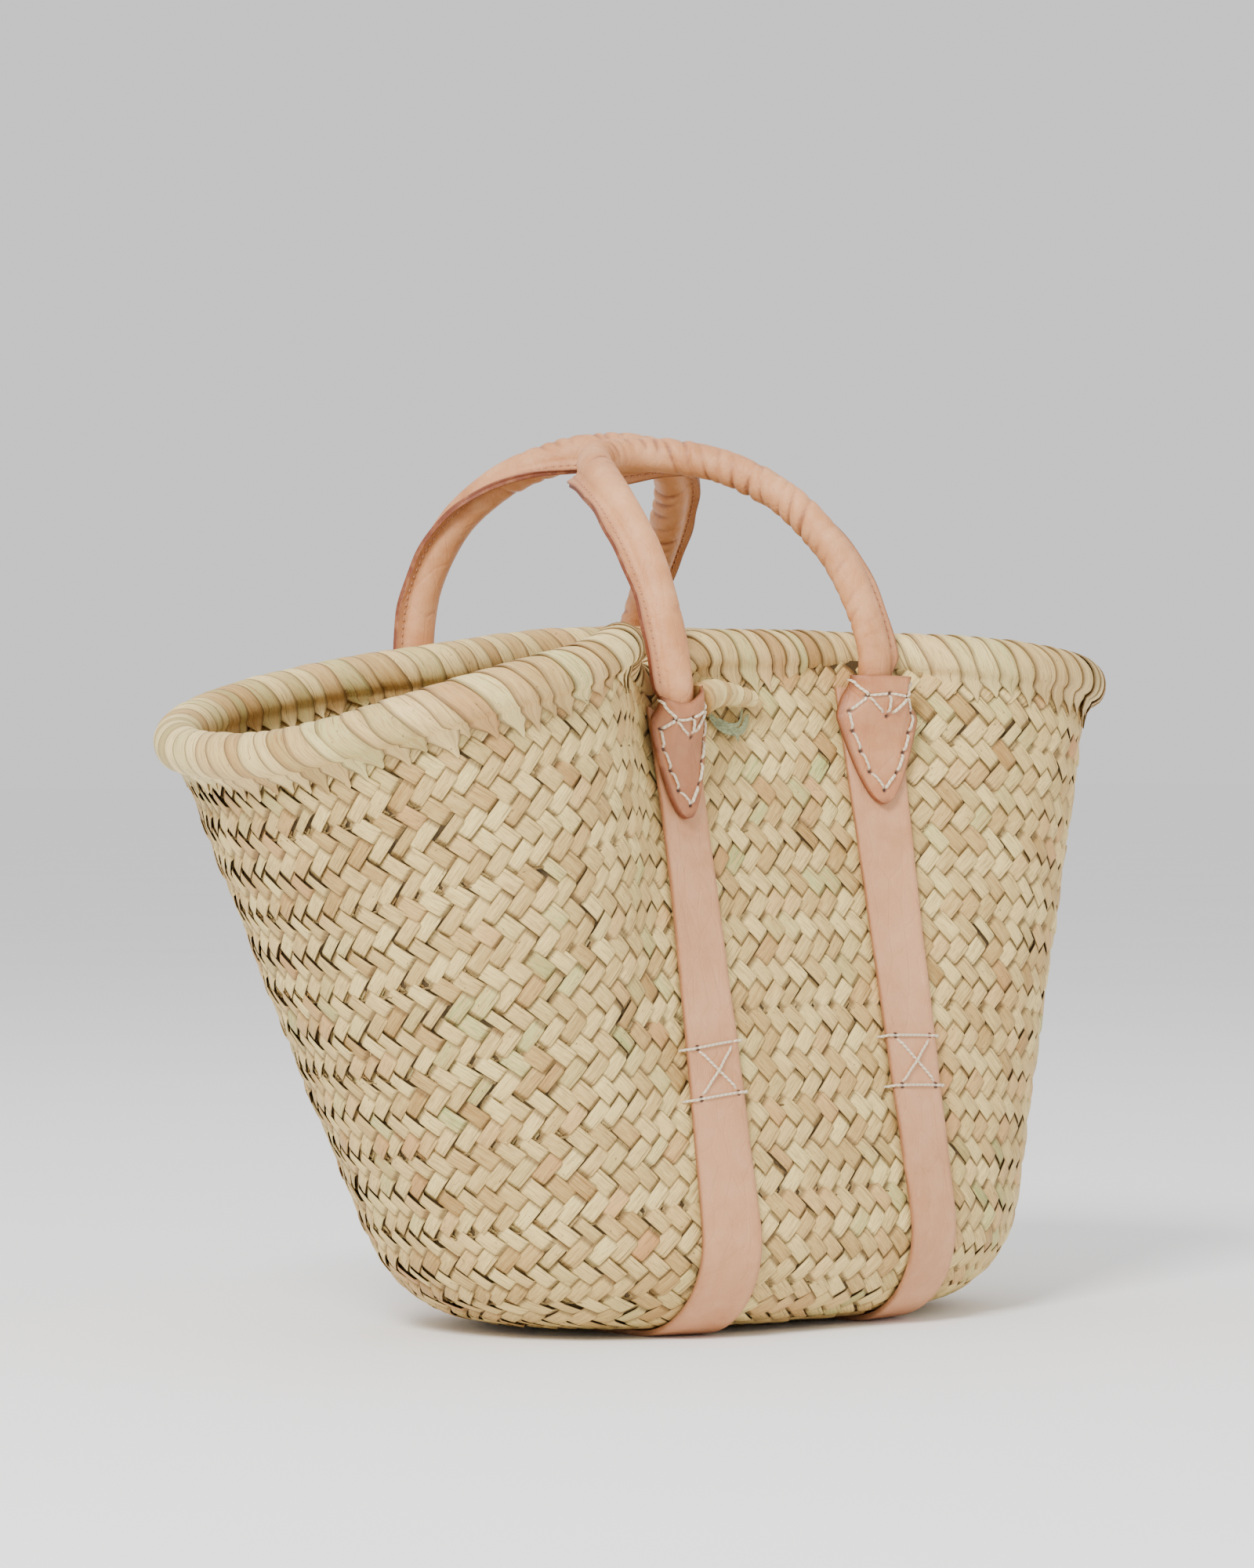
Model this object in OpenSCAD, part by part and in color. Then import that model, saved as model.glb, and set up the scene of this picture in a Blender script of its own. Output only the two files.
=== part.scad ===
// Woven market basket: plaited palm-leaf courses sewn into an oval body with a wrapped roll for a rim,
// two leather straps that run under the base, and two rolled leather handles that swing at their feet.
// +X runs along the basket, -Y is the front, +Z is up, and the straps stand on z = 0.

/* [Base] */
// Half length of the flat part of the base
base_a = 107; // [98:1:116]
// Half width of the flat part of the base
base_b = 61; // [56:1:66]
// Squareness of the base outline, where 2 is an ellipse
base_n = 2.4; // [2.2:0.1:2.8]
// Radius of the curve from the base into the left end
corner_r_left = 62; // [56:1:68]
// Radius of the curve from the base into the right end
corner_r_right = 56; // [50:1:62]
// Radius of the curve from the base into the front and back
corner_r_side = 40; // [36:1:44]

/* [Wall] */
// Lean of the left end away from vertical, in degrees
lean_left = 25.4; // [22:0.1:28]
// Lean of the right end
lean_right = 13; // [10:0.1:16]
// How much the ends straighten up towards the rim
end_curl = -3.5; // [-5:0.1:0]
// Lean of the front wall above the base, where a minus sign is inwards
lean_front_foot = -11.8; // [-13:0.1:-8]
// Lean of the front wall at the rim, which the handles pull inwards
lean_front_rim = -13.8; // [-15:0.1:-10]
// Lean of the back wall
lean_back = 5.2; // [3:0.1:7]
// Thickness of the plaited palm leaf
wall_t = 4; // [3:0.5:5]
// Number of plaited courses sewn one above the other
course_count = 8; // [7:1:9]
// Gap between courses that the sewing cord fills
seam_gap = 2.8; // [2.6:0.1:3.2]

/* [Rim] */
// Radius of the wrapped roll on the rim
roll_r = 10.5; // [9.5:0.5:11]
// Thickness of the leaf wrapped over the roll
roll_skin = 2; // [1.5:0.5:2.5]
// Height of the rim at the middle of the front
rim_front = 300; // [290:1:310]
// Height of the rim at the middle of the back
rim_back = 304; // [294:1:314]
// Height of the rim at the left end
rim_left = 252; // [245:1:262]
// Height of the rim at the right end
rim_right = 281; // [272:1:290]
// How far the left front handle presses the rim down
rim_dip = 15; // [8:1:17]
// Depth of the crease that the left front handle presses into the wall beside it
crease_depth = 18; // [10:1:20]

/* [Leather] */
// Width of the straps
strap_w = 29; // [26:1:32]
// Thickness of the straps
strap_t = 2.6; // [2.2:0.1:2.8]
// Length of the tongue-shaped tabs
tab_len = 60; // [54:1:64]
// Greatest width of the tabs
tab_w = 38; // [34:1:40]
// Thickness of the tabs
tab_t = 2.8; // [2.4:0.1:3]
// Radius of the rolled handles
handle_r = 8; // [7.5:0.1:8.4]
// Thickness of the handle leather
sleeve_t = 1.9; // [1.6:0.1:2]
// Width of the stitched flange that stands out from a handle
flange_w = 5.5; // [4:0.5:6]
// Length from foot to crown of the front handle, over its lean
front_rise = 148; // [142:1:152]
// Length from foot to crown of the back handle, over its lean
back_rise = 122; // [116:1:126]

/* [Hidden] */
COURSES = [for (i = [1:course_count]) str("wall_course_", i)];
CORNERS = ["front_left", "front_right", "back_left", "back_right"];
SIDES = ["front", "back"];

straw = "#d8c79a";
straw_dark = "#b9a878";
palm_cord = "#a08a5a";
leather_pale = "#dcb9a0";
leather_tan = "#cf9f80";
leather_handle = "#d9ad8c";
thread_color = "#efe3c8";

// The middle of the flat base, which the lean of the ends and the front sets off the origin
base_x = 24.07;
base_y = -14.85;
clear = 0.4;
base_z = strap_t + clear;
segments = 60;
seam_r = 1.1;
roll_hollow = roll_r - roll_skin;
core_r = roll_hollow - 0.9;
// Share of the end lean at angle a round the basket: strong only near the two ends
end_sharpness = 3;
// The handle feet, measured from the middle of the base
foot_x = [-69.5, 51.5, -58, 63];
foot_z = [284, 298, 294, 300];
// Where the straps cross the middle of the base
strap_mid_x = [-62, 53];
foot_gap = 8.8;
foot_half = 6;
// How far a foot sinks into the line of the roll, and how far the roll gives way there
foot_sink = 4.3;
roll_give = [8.1, 9.1, 8.4, 10.8];
give_w = 28;
foot_out = roll_r - wall_t / 2 - foot_sink + foot_half + clear;
thread_r = 0.6;
thread_lift = thread_r + 0.9;

function sgn_pow(v, e) = sign(v) * pow(abs(v), e);
function unit(v) = v / norm(v);
function mix(a, b, f) = a + (b - a) * f;
function bump(x, width) = exp(-pow(x / width, 2));
function smooth(f) = let (g = max(0, min(1, f))) g * g * (3 - 2 * g);
// Mean cosine and sine of an angle that turns evenly from a to b
function mean_cos(a, b) = abs(b - a) < 0.01 ? cos(a) : (sin(b) - sin(a)) / ((b - a) * PI / 180);
function mean_sin(a, b) = abs(b - a) < 0.01 ? sin(a) : (cos(a) - cos(b)) / ((b - a) * PI / 180);

// The body's surface. Angle a goes round the basket from the right end, and t runs up the slant of the
// wall, from 0 at the edge of the flat base to 1 at the rim, so every plaited row keeps one t.
function edge(a) = [base_a * sgn_pow(cos(a), 2 / base_n), base_b * sgn_pow(sin(a), 2 / base_n)];
function out_dir(a) = unit([cos(a) / base_a, sin(a) / base_b]);
function end_share(a) = pow(abs(cos(a)), end_sharpness);
function is_front(a) = sin(a) < 0;
function end_lean(a) = cos(a) < 0 ? lean_left : lean_right;
function lean_low(a) = mix(is_front(a) ? lean_front_foot : lean_back, end_lean(a), end_share(a));
function lean_top(a) = mix(is_front(a) ? lean_front_rim : lean_back, end_lean(a) + end_curl, end_share(a));
function corner_r(a) = mix(corner_r_side, cos(a) < 0 ? corner_r_left : corner_r_right, end_share(a));
function corner_h(a) = corner_r(a) * cos(lean_low(a));
function corner_z(a) = base_z + corner_r(a) * (1 - sin(lean_low(a)));
function corner_len(a) = corner_r(a) * (90 - lean_low(a)) * PI / 180;
function rise_len(a, z) = (z - corner_z(a)) / mean_cos(lean_low(a), lean_top(a));
// Where the rim would be on a level cut, which places the rim's highs and lows
function level_x(a) = edge(a)[0]
  + out_dir(a)[0] * (corner_h(a) + rise_len(a, rim_front) * mean_sin(lean_low(a), lean_top(a)));
level_left = level_x(180);
level_right = level_x(0);
rim_crest_x = 40;
function rim_front_z(x) = rim_front
  - (rim_front - (x < 0 ? rim_left : rim_right)) * pow(x / (x < 0 ? level_left : level_right), 2.6);
// The front rim dips where the left handle presses on it and swells beside the dip
// The front rim swells to the left of the dip beside the left strap
rim_swell_h = 5;
rim_swell_x = -118;
rim_swell_w = 24;
rim_dip_x = -72;
rim_dip_w = 19;
function rim_swell(a) = let (x = level_x(a))
  !is_front(a) ? 0 :
  rim_swell_h * bump(x - rim_swell_x, rim_swell_w) - rim_dip * bump(x - rim_dip_x, rim_dip_w);
function rim_back_z(x) = x < rim_crest_x
  ? rim_back - (rim_back - rim_left) * pow((rim_crest_x - x) / (rim_crest_x - level_left), 1.5)
  : rim_back - (rim_back - rim_right) * pow((x - rim_crest_x) / (level_right - rim_crest_x), 4);
function rim_z(a) = let (x = level_x(a)) is_front(a) ? rim_front_z(x) : rim_back_z(x);
function slant(a) = corner_len(a) + rise_len(a, rim_z(a));
// The crease in the front wall, left of the left handle
crease_x = -88;
crease_w = 25;

// The point of the wall at angle a and slant share t
function wall_point(a, t) = let (
    total = slant(a), s = t * total + rim_swell(a) * pow(t, 4), bend = corner_len(a),
    n2 = out_dir(a), e = edge(a),
    low = lean_low(a), q = max(0, s - bend) / (total - bend), lean = mix(low, lean_top(a), q),
    phi = s < bend ? s / bend * (90 - low) : 90 - lean,
    h = s < bend ? corner_r(a) * sin(phi) : corner_h(a) + (s - bend) * mean_sin(low, lean),
    z = s < bend ? base_z + corner_r(a) * (1 - cos(phi)) : corner_z(a) + (s - bend) * mean_cos(low, lean),
    x = e[0] + h * n2[0],
    press = is_front(a) ? pow(t, 3) * crease_depth * bump(x - crease_x, crease_w) : 0)
  [base_x + x, base_y + e[1] + h * n2[1] + press, z];
// [point, outward normal, plan outward direction, direction round the wall]
function wall(a, t) =
  let (p = wall_point(a, t), along = unit(wall_point(a + 0.5, t) - wall_point(a - 0.5, t)),
    low = max(0, t - 0.01), up = wall_point(a, low + 0.01) - wall_point(a, low), n = unit(cross(along, up)))
  [p, n, unit([n[0], n[1]]), along];
function wall_in(a, t, depth) = let (w = wall(a, t)) w[0] - w[1] * depth;

// The angle at which the wall passes a given x, by halving; side is -1 for the front and 1 for the back
function angle_from_right(d, side) = side < 0 ? 270 + d : 90 - d;
function seek(x, t, side, low, high, steps) = let (mid = (low + high) / 2)
  steps == 0 ? angle_from_right(mid, side)
  : wall_point(angle_from_right(mid, side), t)[0] < x ? seek(x, t, side, mid, high, steps - 1)
  : seek(x, t, side, low, mid, steps - 1);
function angle_at(x, t, side) = seek(x, t, side, -88, 88, 16);
// The slant share at which the wall at a given x reaches height z
function climb(x, z, side, low, high, steps) = let (mid = (low + high) / 2)
  steps == 0 ? mid
  : wall_point(angle_at(x, mid, side), mid)[2] < z ? climb(x, z, side, mid, high, steps - 1)
  : climb(x, z, side, low, mid, steps - 1);
function share_at(x, z, side) = climb(x, z, side, 0.1, 1, 14);

// A solid swept through closed sections that all have the same even number of points. Sections that run
// the other way round need their faces turned.
function side_faces(n, k, closed) =
  [for (i = [0:n - (closed ? 1 : 2)], j = [0:k - 1])
    let (a = i * k + j, b = i * k + (j + 1) % k, c = (i + 1) % n * k + j, d = (i + 1) % n * k + (j + 1) % k)
    each [[a, b, d], [a, d, c]]];
function cap_faces(first, k) =
  [for (j = [0:k / 2 - 2])
    each [[j, j + 1, k - 2 - j], [j, k - 2 - j, k - 1 - j]] + first * [[1, 1, 1], [1, 1, 1]]];
function turned(faces) = [for (f = faces) [f[2], f[1], f[0]]];
module sweep(sections, closed = false, turn = false) {
  n = len(sections);
  k = len(sections[0]);
  caps = closed ? [] : concat(turned(cap_faces(0, k)), cap_faces((n - 1) * k, k));
  faces = concat(side_faces(n, k, closed), caps);
  polyhedron([for (s = sections) each s], turn ? turned(faces) : faces);
}
function round_section(c, u, v, r, k) =
  [for (j = [0:k - 1]) let (w = j * 360 / k) c + r * (cos(w) * u + sin(w) * v)];
// One stitch between the holes at p and q, short of both by the depth at which it dives in
module thread(p, q) {
  run = q - p;
  dive = 0.9;
  translate(p + unit(run) * dive)
    rotate([0, acos(run[2] / norm(run)), atan2(run[1], run[0])])
      cylinder(h = norm(run) - 2 * dive, r = thread_r, $fn = 16);
}

// The rings crowd together at the crease
crease_angle = 228;
crowding = 23;
function ring_angle(i) = let (u = i * 360 / segments) u - crowding * sin(u - crease_angle);

module base_mat()
  color(straw)
    translate([base_x, base_y, base_z])
      linear_extrude(wall_t)
        polygon([for (i = [0:segments - 1]) let (a = ring_angle(i)) edge(a) - out_dir(a) * seam_gap / 2]);

// One plaited course between two seams. The top one ends inside the roll.
module wall_course(i)
  color(i % 2 == 0 ? straw : straw_dark)
    sweep([for (k = [0:segments - 1])
      let (a = ring_angle(k), half = seam_gap / 2 / slant(a),
        low = (i - 1) / course_count + half,
        high = i == course_count ? 1 - (roll_hollow + 0.4) / slant(a) : i / course_count - half)
      concat([for (f = [0, 0.5, 1]) wall_in(a, mix(low, high, f), 0)],
        [for (f = [1, 0.5, 0]) wall_in(a, mix(low, high, f), wall_t)])], true);

module seam_cords()
  color(palm_cord)
    for (i = [0:course_count - 1])
      sweep([for (k = [0:segments - 1])
        let (w = wall(ring_angle(k), i / course_count))
        round_section(w[0] - w[1] * wall_t / 2, w[1], cross(w[1], w[3]), seam_r, 4)], true);

// The roll's centre line, and its out and up directions. It is pushed in where the handles press on it.
function roll_press(a) = let (x = wall(a, 1)[0][0] - base_x)
  max([for (k = [0:3]) is_front(a) == (k < 2) ? roll_give[k] * bump(x - foot_x[k], give_w) : 0]);
function roll_frame(a) = let (w = wall(a, 1), o = [w[2][0], w[2][1], 0])
  [w[0] - w[1] * wall_t / 2 - o * roll_press(a), w[1], cross(w[1], w[3])];
// The wrapped leaves close round the core and grip the top of the wall in a slot underneath
slot_half = 17;
slot_shift = 30;
function wrap_arc(a, j) = let (shift = min(roll_press(a) * 7, slot_shift))
  -90 + slot_half + shift + j * (360 - 2 * slot_half - shift) / 8;
module rim_wrap()
  color(straw)
    sweep([for (k = [0:segments - 1])
      let (a = ring_angle(k), f = roll_frame(a))
      concat([for (j = [0:8]) let (w = wrap_arc(a, j)) f[0] + roll_r * (cos(w) * f[1] + sin(w) * f[2])],
        [for (j = [8:-1:0]) let (w = wrap_arc(a, j)) f[0] + roll_hollow * (cos(w) * f[1] + sin(w) * f[2])])],
      true);

module rim_core()
  color(palm_cord)
    sweep([for (k = [0:segments - 1])
      let (f = roll_frame(ring_angle(k))) round_section(f[0], f[1], f[2], core_r, 6)], true);

// The end of the roll, which passes in front of its own start and tapers to a raw tip
tail_from = -46;
tail_to = -12;
tail_r = [6.5, 3.5];
module rim_tail()
  color(straw_dark)
    sweep([for (f = [0:0.25:1])
      let (x = mix(tail_from, tail_to, f), r = mix(tail_r[0], tail_r[1], f), t = mix(0.936, 0.93, f),
        a = angle_at(base_x + x, t, -1), w = wall(a, t))
      round_section(w[0] + w[1] * (r + clear), unit(cross(w[1], [1, 0, 0])), w[1], r, 10)], turn = true);

// A leaf knotted off under the tail
module rim_tie()
  color("#c3c79a")
    sweep([for (f = [0:0.25:1])
      let (x = mix(-38, -16, f), t = 0.893 + 0.006 * sin(180 * f), w = wall(angle_at(base_x + x, t, -1), t),
        up = cross([1, 0, 0], w[1]))
      [for (q = [[-2.5, 0.4], [2.5, 0.4], [2.5, 1.4], [-2.5, 1.4]]) w[0] + up * q[0] + w[1] * q[1]]]);

// Leather laid on the wall. A section has points at offsets across, from inner to outer height above
// the wall, all raised in one direction.
function wall_out(x, t, side) = wall(angle_at(x, t, side), t)[1];
function raised(x, t, side, out, height) = wall_point(angle_at(x, t, side), t) + out * height;
function leather_section(x, t, side, out, across, inner, outer) = let (n = len(across) - 1)
  concat([for (j = [0:n]) raised(x + across[j], t, side, out, inner[j])],
    [for (j = [n:-1:0]) raised(x + across[j], t, side, out, outer[j])]);

function side_of(k) = k < 2 ? -1 : 1;
foot_t = [for (k = [0:3]) share_at(base_x + foot_x[k], foot_z[k], side_of(k))];
foot_angle = [for (k = [0:3]) angle_at(base_x + foot_x[k], foot_t[k], side_of(k))];
foot = [for (k = [0:3]) wall_point(foot_angle[k], foot_t[k]) + [0, side_of(k) * foot_out, 0]];
// Slant share at a distance below a foot
function below(k, d) = foot_t[k] - d / slant(foot_angle[k]);

// A strap runs from under the front tab, down, across the base and up to the back tab
strap_top_gap = 15;
function strap_x(i, v) = let (a = foot_x[i], b = strap_mid_x[i], c = foot_x[i + 2])
  base_x + a * (1 - v) * (1 - 2 * v) + 4 * b * v * (1 - v) + c * v * (2 * v - 1);
strap_cut = [-strap_w / 2, -strap_w / 4, 0, strap_w / 4, strap_w / 2];
strap_steps = 24;
strap_lift = 0.7;
ones = [for (d = strap_cut) 1];
function strap_wall_sections(i, side) = let (k = side < 0 ? i : i + 2, top = below(k, strap_top_gap))
  [for (j = [0:strap_steps])
    let (f = 1 - pow(1 - j / strap_steps, 1.8), x = strap_x(i, side < 0 ? 0.42 * f : 1 - 0.42 * f),
      t = mix(top, 0.005, f), lift = strap_lift * smooth((1 - f) * 5))
    leather_section(x, t, side, wall_out(x, t, side), strap_cut,
      (clear + lift) * ones, (base_z + lift) * ones)];
module strap(i)
  color(leather_pale)
    sweep(concat(strap_wall_sections(i, -1),
      [for (f = [0.25, 0.5, 0.75])
        let (x = strap_x(i, mix(0.42, 0.58, f)), y = base_y + base_b * (2 * f - 1) * 0.8)
        concat([for (d = strap_cut) [x + d, y, strap_t]], [for (d = -strap_cut) [x + d, y, 0]])],
      [for (j = [strap_steps:-1:0]) strap_wall_sections(i, 1)[j]]), turn = true);

// The tongue-shaped tab that covers a handle's end. Its shares run from the tip at 0 to the collar at 1.
tab_shares = [0.01, 0.05, 0.12, 0.22, 0.33, 0.44, 0.55, 0.66, 0.77, 0.88, 1];
end_shares = [for (f = tab_shares) if (f > 0.4) f];
end_half = 8;
collar_half = 13.5;
function tab_half(f) = f < 0.66 ? tab_w / 2 * pow(f / 0.66, 0.5)
  : mix(tab_w / 2, collar_half, smooth((f - 0.66) / 0.26));
function tab_depth(f) = foot_gap + (1 - f) * tab_len;
// Both stand off the wall in one direction: square to the wall at the tip, level at the foot
tip_out = [for (k = [0:3])
  let (t = below(k, foot_gap + tab_len)) wall_out(base_x + foot_x[k], t, side_of(k))];
function tab_out(k, f) = unit(mix(tip_out[k], [0, side_of(k), 0], smooth(f)));

// The flattened end of a handle, sewn down between strap and tab
end_z = base_z + strap_lift + 2 * clear;
function end_outer(f) =
  mix(end_z + 2, foot_out + foot_half, smooth((f - end_shares[0]) / (1 - end_shares[0])));
function end_inner(f) = mix(end_z, foot_out - foot_half + 0.8, max(0, f * 3 - 2));
module handle_end(k)
  color(leather_handle)
    sweep([for (f = end_shares)
      let (low = end_inner(f), high = end_outer(f), edge_z = max(low + 0.3, high - 1.4 - f),
        half = mix(end_half, 5.5, smooth(f * 3 - 2)))
      leather_section(base_x + foot_x[k], below(k, tab_depth(f)), side_of(k), tab_out(k, f),
        [-half, 0, half], [low, low, low], [edge_z, high, edge_z])], turn = side_of(k) > 0);

function tab_inner(f) =
  f < end_shares[0] ? mix(end_z, end_z + 2 + clear, f / end_shares[0]) : end_outer(f) + clear;
function tab_cut(f) = let (h = tab_half(f), m = min(end_half + 0.6, h * 0.6)) [-h, -m, 0, m, h];
function tab_under(f) = let (hi = tab_inner(f), shoulder = max(end_z, hi - 1.4 * f),
    edge_z = mix(end_z, max(end_z, hi - 6), smooth((f - 0.8) / 0.2)))
  [edge_z, shoulder, hi, shoulder, edge_z];
module tab(k)
  color(leather_tan)
    sweep([for (f = tab_shares)
      leather_section(base_x + foot_x[k], below(k, tab_depth(f)), side_of(k), tab_out(k, f), tab_cut(f),
        tab_under(f), [for (h = tab_under(f)) h + tab_t])], turn = side_of(k) > 0);

// A point on a tab's face: f from tip to collar, g from -1 to 1 across
function tab_face(k, f, g) = let (h = tab_half(f), m = tab_cut(f)[3], u = tab_under(f), b = abs(g) * h,
    top = b < m ? mix(u[2], u[1], b / m) : mix(u[1], u[0], (b - m) / (h - m)))
  raised(base_x + foot_x[k] + g * h, below(k, tab_depth(f)), side_of(k), tab_out(k, f),
    top + tab_t + thread_lift);
tab_holes = [[0.1, 0], [0.2, 0.6], [0.38, 0.72], [0.55, 0.77], [0.7, 0.78], [0.84, 0.7]];
module tab_stitches(k)
  color(thread_color)
    for (g = [-1, 1]) {
      for (j = [0:len(tab_holes) - 2])
        let (p = tab_holes[j], q = tab_holes[j + 1])
          thread(tab_face(k, p[0], p[1] * g), tab_face(k, q[0], q[1] * g));
      thread(tab_face(k, 0.84, 0.6 * g), tab_face(k, 0.84, 0));
      thread(tab_face(k, 0.8, 0.5 * g), tab_face(k, 0.7, 0.1 * g));
    }

// The crossed thread that sews each strap to the wall, a third of the way up
cross_low = 106;
cross_high = 128;
cross_half = 10.5;
cross_over = 19;
cross_lift = 1.1;
module cross_stitches(k) {
  side = side_of(k);
  x = strap_x(k % 2, side < 0 ? 0.26 : 0.74);
  low = share_at(x, cross_low, side);
  high = share_at(x, cross_high, side);
  lift = base_z + strap_lift + thread_lift;
  out = wall_out(x, low, side);
  color(thread_color) {
    for (t = [low, high])
      thread(raised(x - cross_over, t, side, out, lift), raised(x + cross_over, t, side, out, lift));
    for (g = [-1, 1])
      thread(raised(x - cross_half * g, mix(low, high, 0.1), side, out, lift + cross_lift * (1 + g)),
        raised(x + cross_half * g, mix(low, high, 0.9), side, out, lift + cross_lift * (1 + g)));
  }
}

// A handle is an arch on a sheet that leans and curls inwards. [rise, squareness, lean at the foot, curl,
// skew along X, twist about Z], first the front handle and then the back one.
arch = [[front_rise, 1.95, 4, 80, -18, 3], [back_rise, 2.05, 11, 47, -2, 36]];
function arch_point(s, w) = let (
    p = arch[s], left = foot[2 * s], right = foot[2 * s + 1], side = side_of(2 * s),
    up = pow(abs(sin(w)), 2 / p[1]), flat_x = -sgn_pow(cos(w), 2 / p[1]),
    lean = p[2] + p[3] * up, h = p[0] * up,
    base = mix(left, right, (flat_x + 1) / 2))
  [[base[0] + p[4] * up, base[1] - side * (h * mean_sin(p[2], lean) + p[5] * flat_x * up),
    base[2] + h * mean_cos(p[2], lean)], [0, -side * cos(lean), -sin(lean)]];
// Centre, tangent, flange direction, side direction and flattening at step i of the arch
arch_steps = 26;
function arch_frame(s, i) = let (
    w = mix(0, 180, i / arch_steps), p = arch_point(s, w),
    free = unit(arch_point(s, w + 1)[0] - arch_point(s, w - 1)[0]),
    tan = i == 0 ? [0, 0, 1] : i == arch_steps ? [0, 0, -1] : free,
    inward = unit(p[1] - (p[1] * tan) * tan), extrados = cross(tan, inward) * (s == 0 ? 1 : -1),
    turn = 90 * pow(abs(cos(w)), 0.8), d = inward * cos(turn) + extrados * sin(turn),
    reach = min(i, arch_steps - i))
  [p[0], tan, d, cross(tan, d), inward, mix(foot_half / handle_r, 1, smooth(reach / 4))];
function squeeze(o, inward, f) = o - (1 - f) * (o * inward) * inward;
// Both ends close in a dome round the swing axis
dome = [[-0.95, 0.4], [-0.8, 0.62], [-0.45, 0.89]];
function arch_stations(s) = concat(
  [for (d = dome) let (f = arch_frame(s, 0)) [f, f[0] + f[1] * foot_half * d[0], d[1]]],
  [for (i = [0:arch_steps]) let (f = arch_frame(s, i)) [f, f[0], 1]],
  [for (j = [2:-1:0]) let (d = dome[j], f = arch_frame(s, arch_steps))
    [f, f[0] - f[1] * foot_half * d[0], d[1]]]);
lip_y = sleeve_t + 0.2;
lip_turn = asin(lip_y / handle_r);
bore_r = handle_r - sleeve_t;
sleeve_turns = [for (j = [0:10]) lip_turn + j * (360 - 2 * lip_turn) / 10];
sleeve_outline = concat([for (w = sleeve_turns) handle_r * [cos(w), sin(w)]],
  [[handle_r + flange_w, -lip_y], [handle_r + flange_w, lip_y]]);
sleeve_bore = [for (w = concat(sleeve_turns, [360 - lip_turn / 3, 360 + lip_turn / 3]))
  bore_r * [cos(w), sin(w)]];
function sleeve_loop(q, loop) = let (f = q[0])
  [for (o = loop) q[1] + squeeze((o[0] * f[2] + o[1] * f[3]) * q[2], f[4], f[5])];
// An open tube: outer and inner loops of k points at n stations, joined by a flat ring at each end
function tube_faces(n, k) = let (m = n * k) concat(
  side_faces(n, k, false),
  [for (q = side_faces(n, k, false)) [q[2] + m, q[1] + m, q[0] + m]],
  [for (j = [0:k - 1]) let (a = j, b = (j + 1) % k) each [[a, m + a, m + b], [a, m + b, b]]],
  [for (j = [0:k - 1]) let (a = m - k + j, b = m - k + (j + 1) % k)
    each [[a, m + b, m + a], [a, b, m + b]]]);
module handle_sleeve(s) {
  stations = arch_stations(s);
  color(leather_handle)
    polyhedron(concat([for (q = stations) each sleeve_loop(q, sleeve_outline)],
      [for (q = stations) each sleeve_loop(q, sleeve_bore)]),
      turned(tube_faces(len(stations), len(sleeve_outline))));
}
module handle_core(s)
  color(palm_cord)
    sweep([for (i = [0:arch_steps]) let (f = arch_frame(s, i))
      [for (o = round_section([0, 0, 0], f[2], f[3], bore_r - 0.7, 6))
        f[0] + f[1] * (i == 0 ? 1 : i == arch_steps ? -1 : 0)
        + squeeze(o, f[4], f[5])]], turn = true);
// The machine-sewn thread along the flange
module handle_thread(s)
  color(thread_color)
    sweep([for (i = [1:arch_steps - 1]) let (f = arch_frame(s, i),
        c = f[0] + squeeze(f[2] * (handle_r + flange_w * 0.45) + f[3] * (lip_y + 0.8), f[4], f[5]))
      round_section(c, f[2], f[3], 0.4, 4)], turn = true);

base_mat();
seam_cords();
for (i = [1:course_count]) wall_course(i);
rim_core();
rim_wrap();
rim_tail();
rim_tie();
strap(0);  // strap_left
strap(1);  // strap_right
for (k = [0:3]) handle_end(k);
for (k = [0:3]) tab(k);
for (k = [0:3]) tab_stitches(k);
for (k = [0:3]) cross_stitches(k);
for (s = [0:1]) handle_core(s);
for (s = [0:1]) handle_sleeve(s);
for (s = [0:1]) handle_thread(s);
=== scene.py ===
"""Looks of the woven market basket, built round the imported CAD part.

The body's surface follows the same formulas as the CAD part, in millimetres and degrees: angle a goes round
the basket from the right end, and t runs up the slant of the wall, from 0 at the base to 1 at the rim.
Meshes are made from it in metres: plaited leaves, wrapped rim, straps, tabs, threads and handles.
"""

import math
import bpy
import numpy as np
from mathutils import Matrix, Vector


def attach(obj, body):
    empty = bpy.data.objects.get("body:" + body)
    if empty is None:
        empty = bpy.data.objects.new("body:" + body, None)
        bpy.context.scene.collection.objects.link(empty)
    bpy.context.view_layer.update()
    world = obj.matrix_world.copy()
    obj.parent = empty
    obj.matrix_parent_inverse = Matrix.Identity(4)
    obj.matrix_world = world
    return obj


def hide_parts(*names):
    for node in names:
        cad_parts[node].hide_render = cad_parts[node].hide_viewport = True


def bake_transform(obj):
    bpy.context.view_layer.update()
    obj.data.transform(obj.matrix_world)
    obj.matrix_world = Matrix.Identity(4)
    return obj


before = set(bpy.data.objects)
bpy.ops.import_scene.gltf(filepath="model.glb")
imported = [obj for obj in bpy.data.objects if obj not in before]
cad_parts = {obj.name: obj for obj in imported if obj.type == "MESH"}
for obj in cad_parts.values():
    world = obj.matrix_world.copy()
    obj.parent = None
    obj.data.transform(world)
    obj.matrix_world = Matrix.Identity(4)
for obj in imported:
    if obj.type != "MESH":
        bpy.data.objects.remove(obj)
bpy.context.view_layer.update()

MM = 0.001
RANDOM = np.random.default_rng(7)

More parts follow.
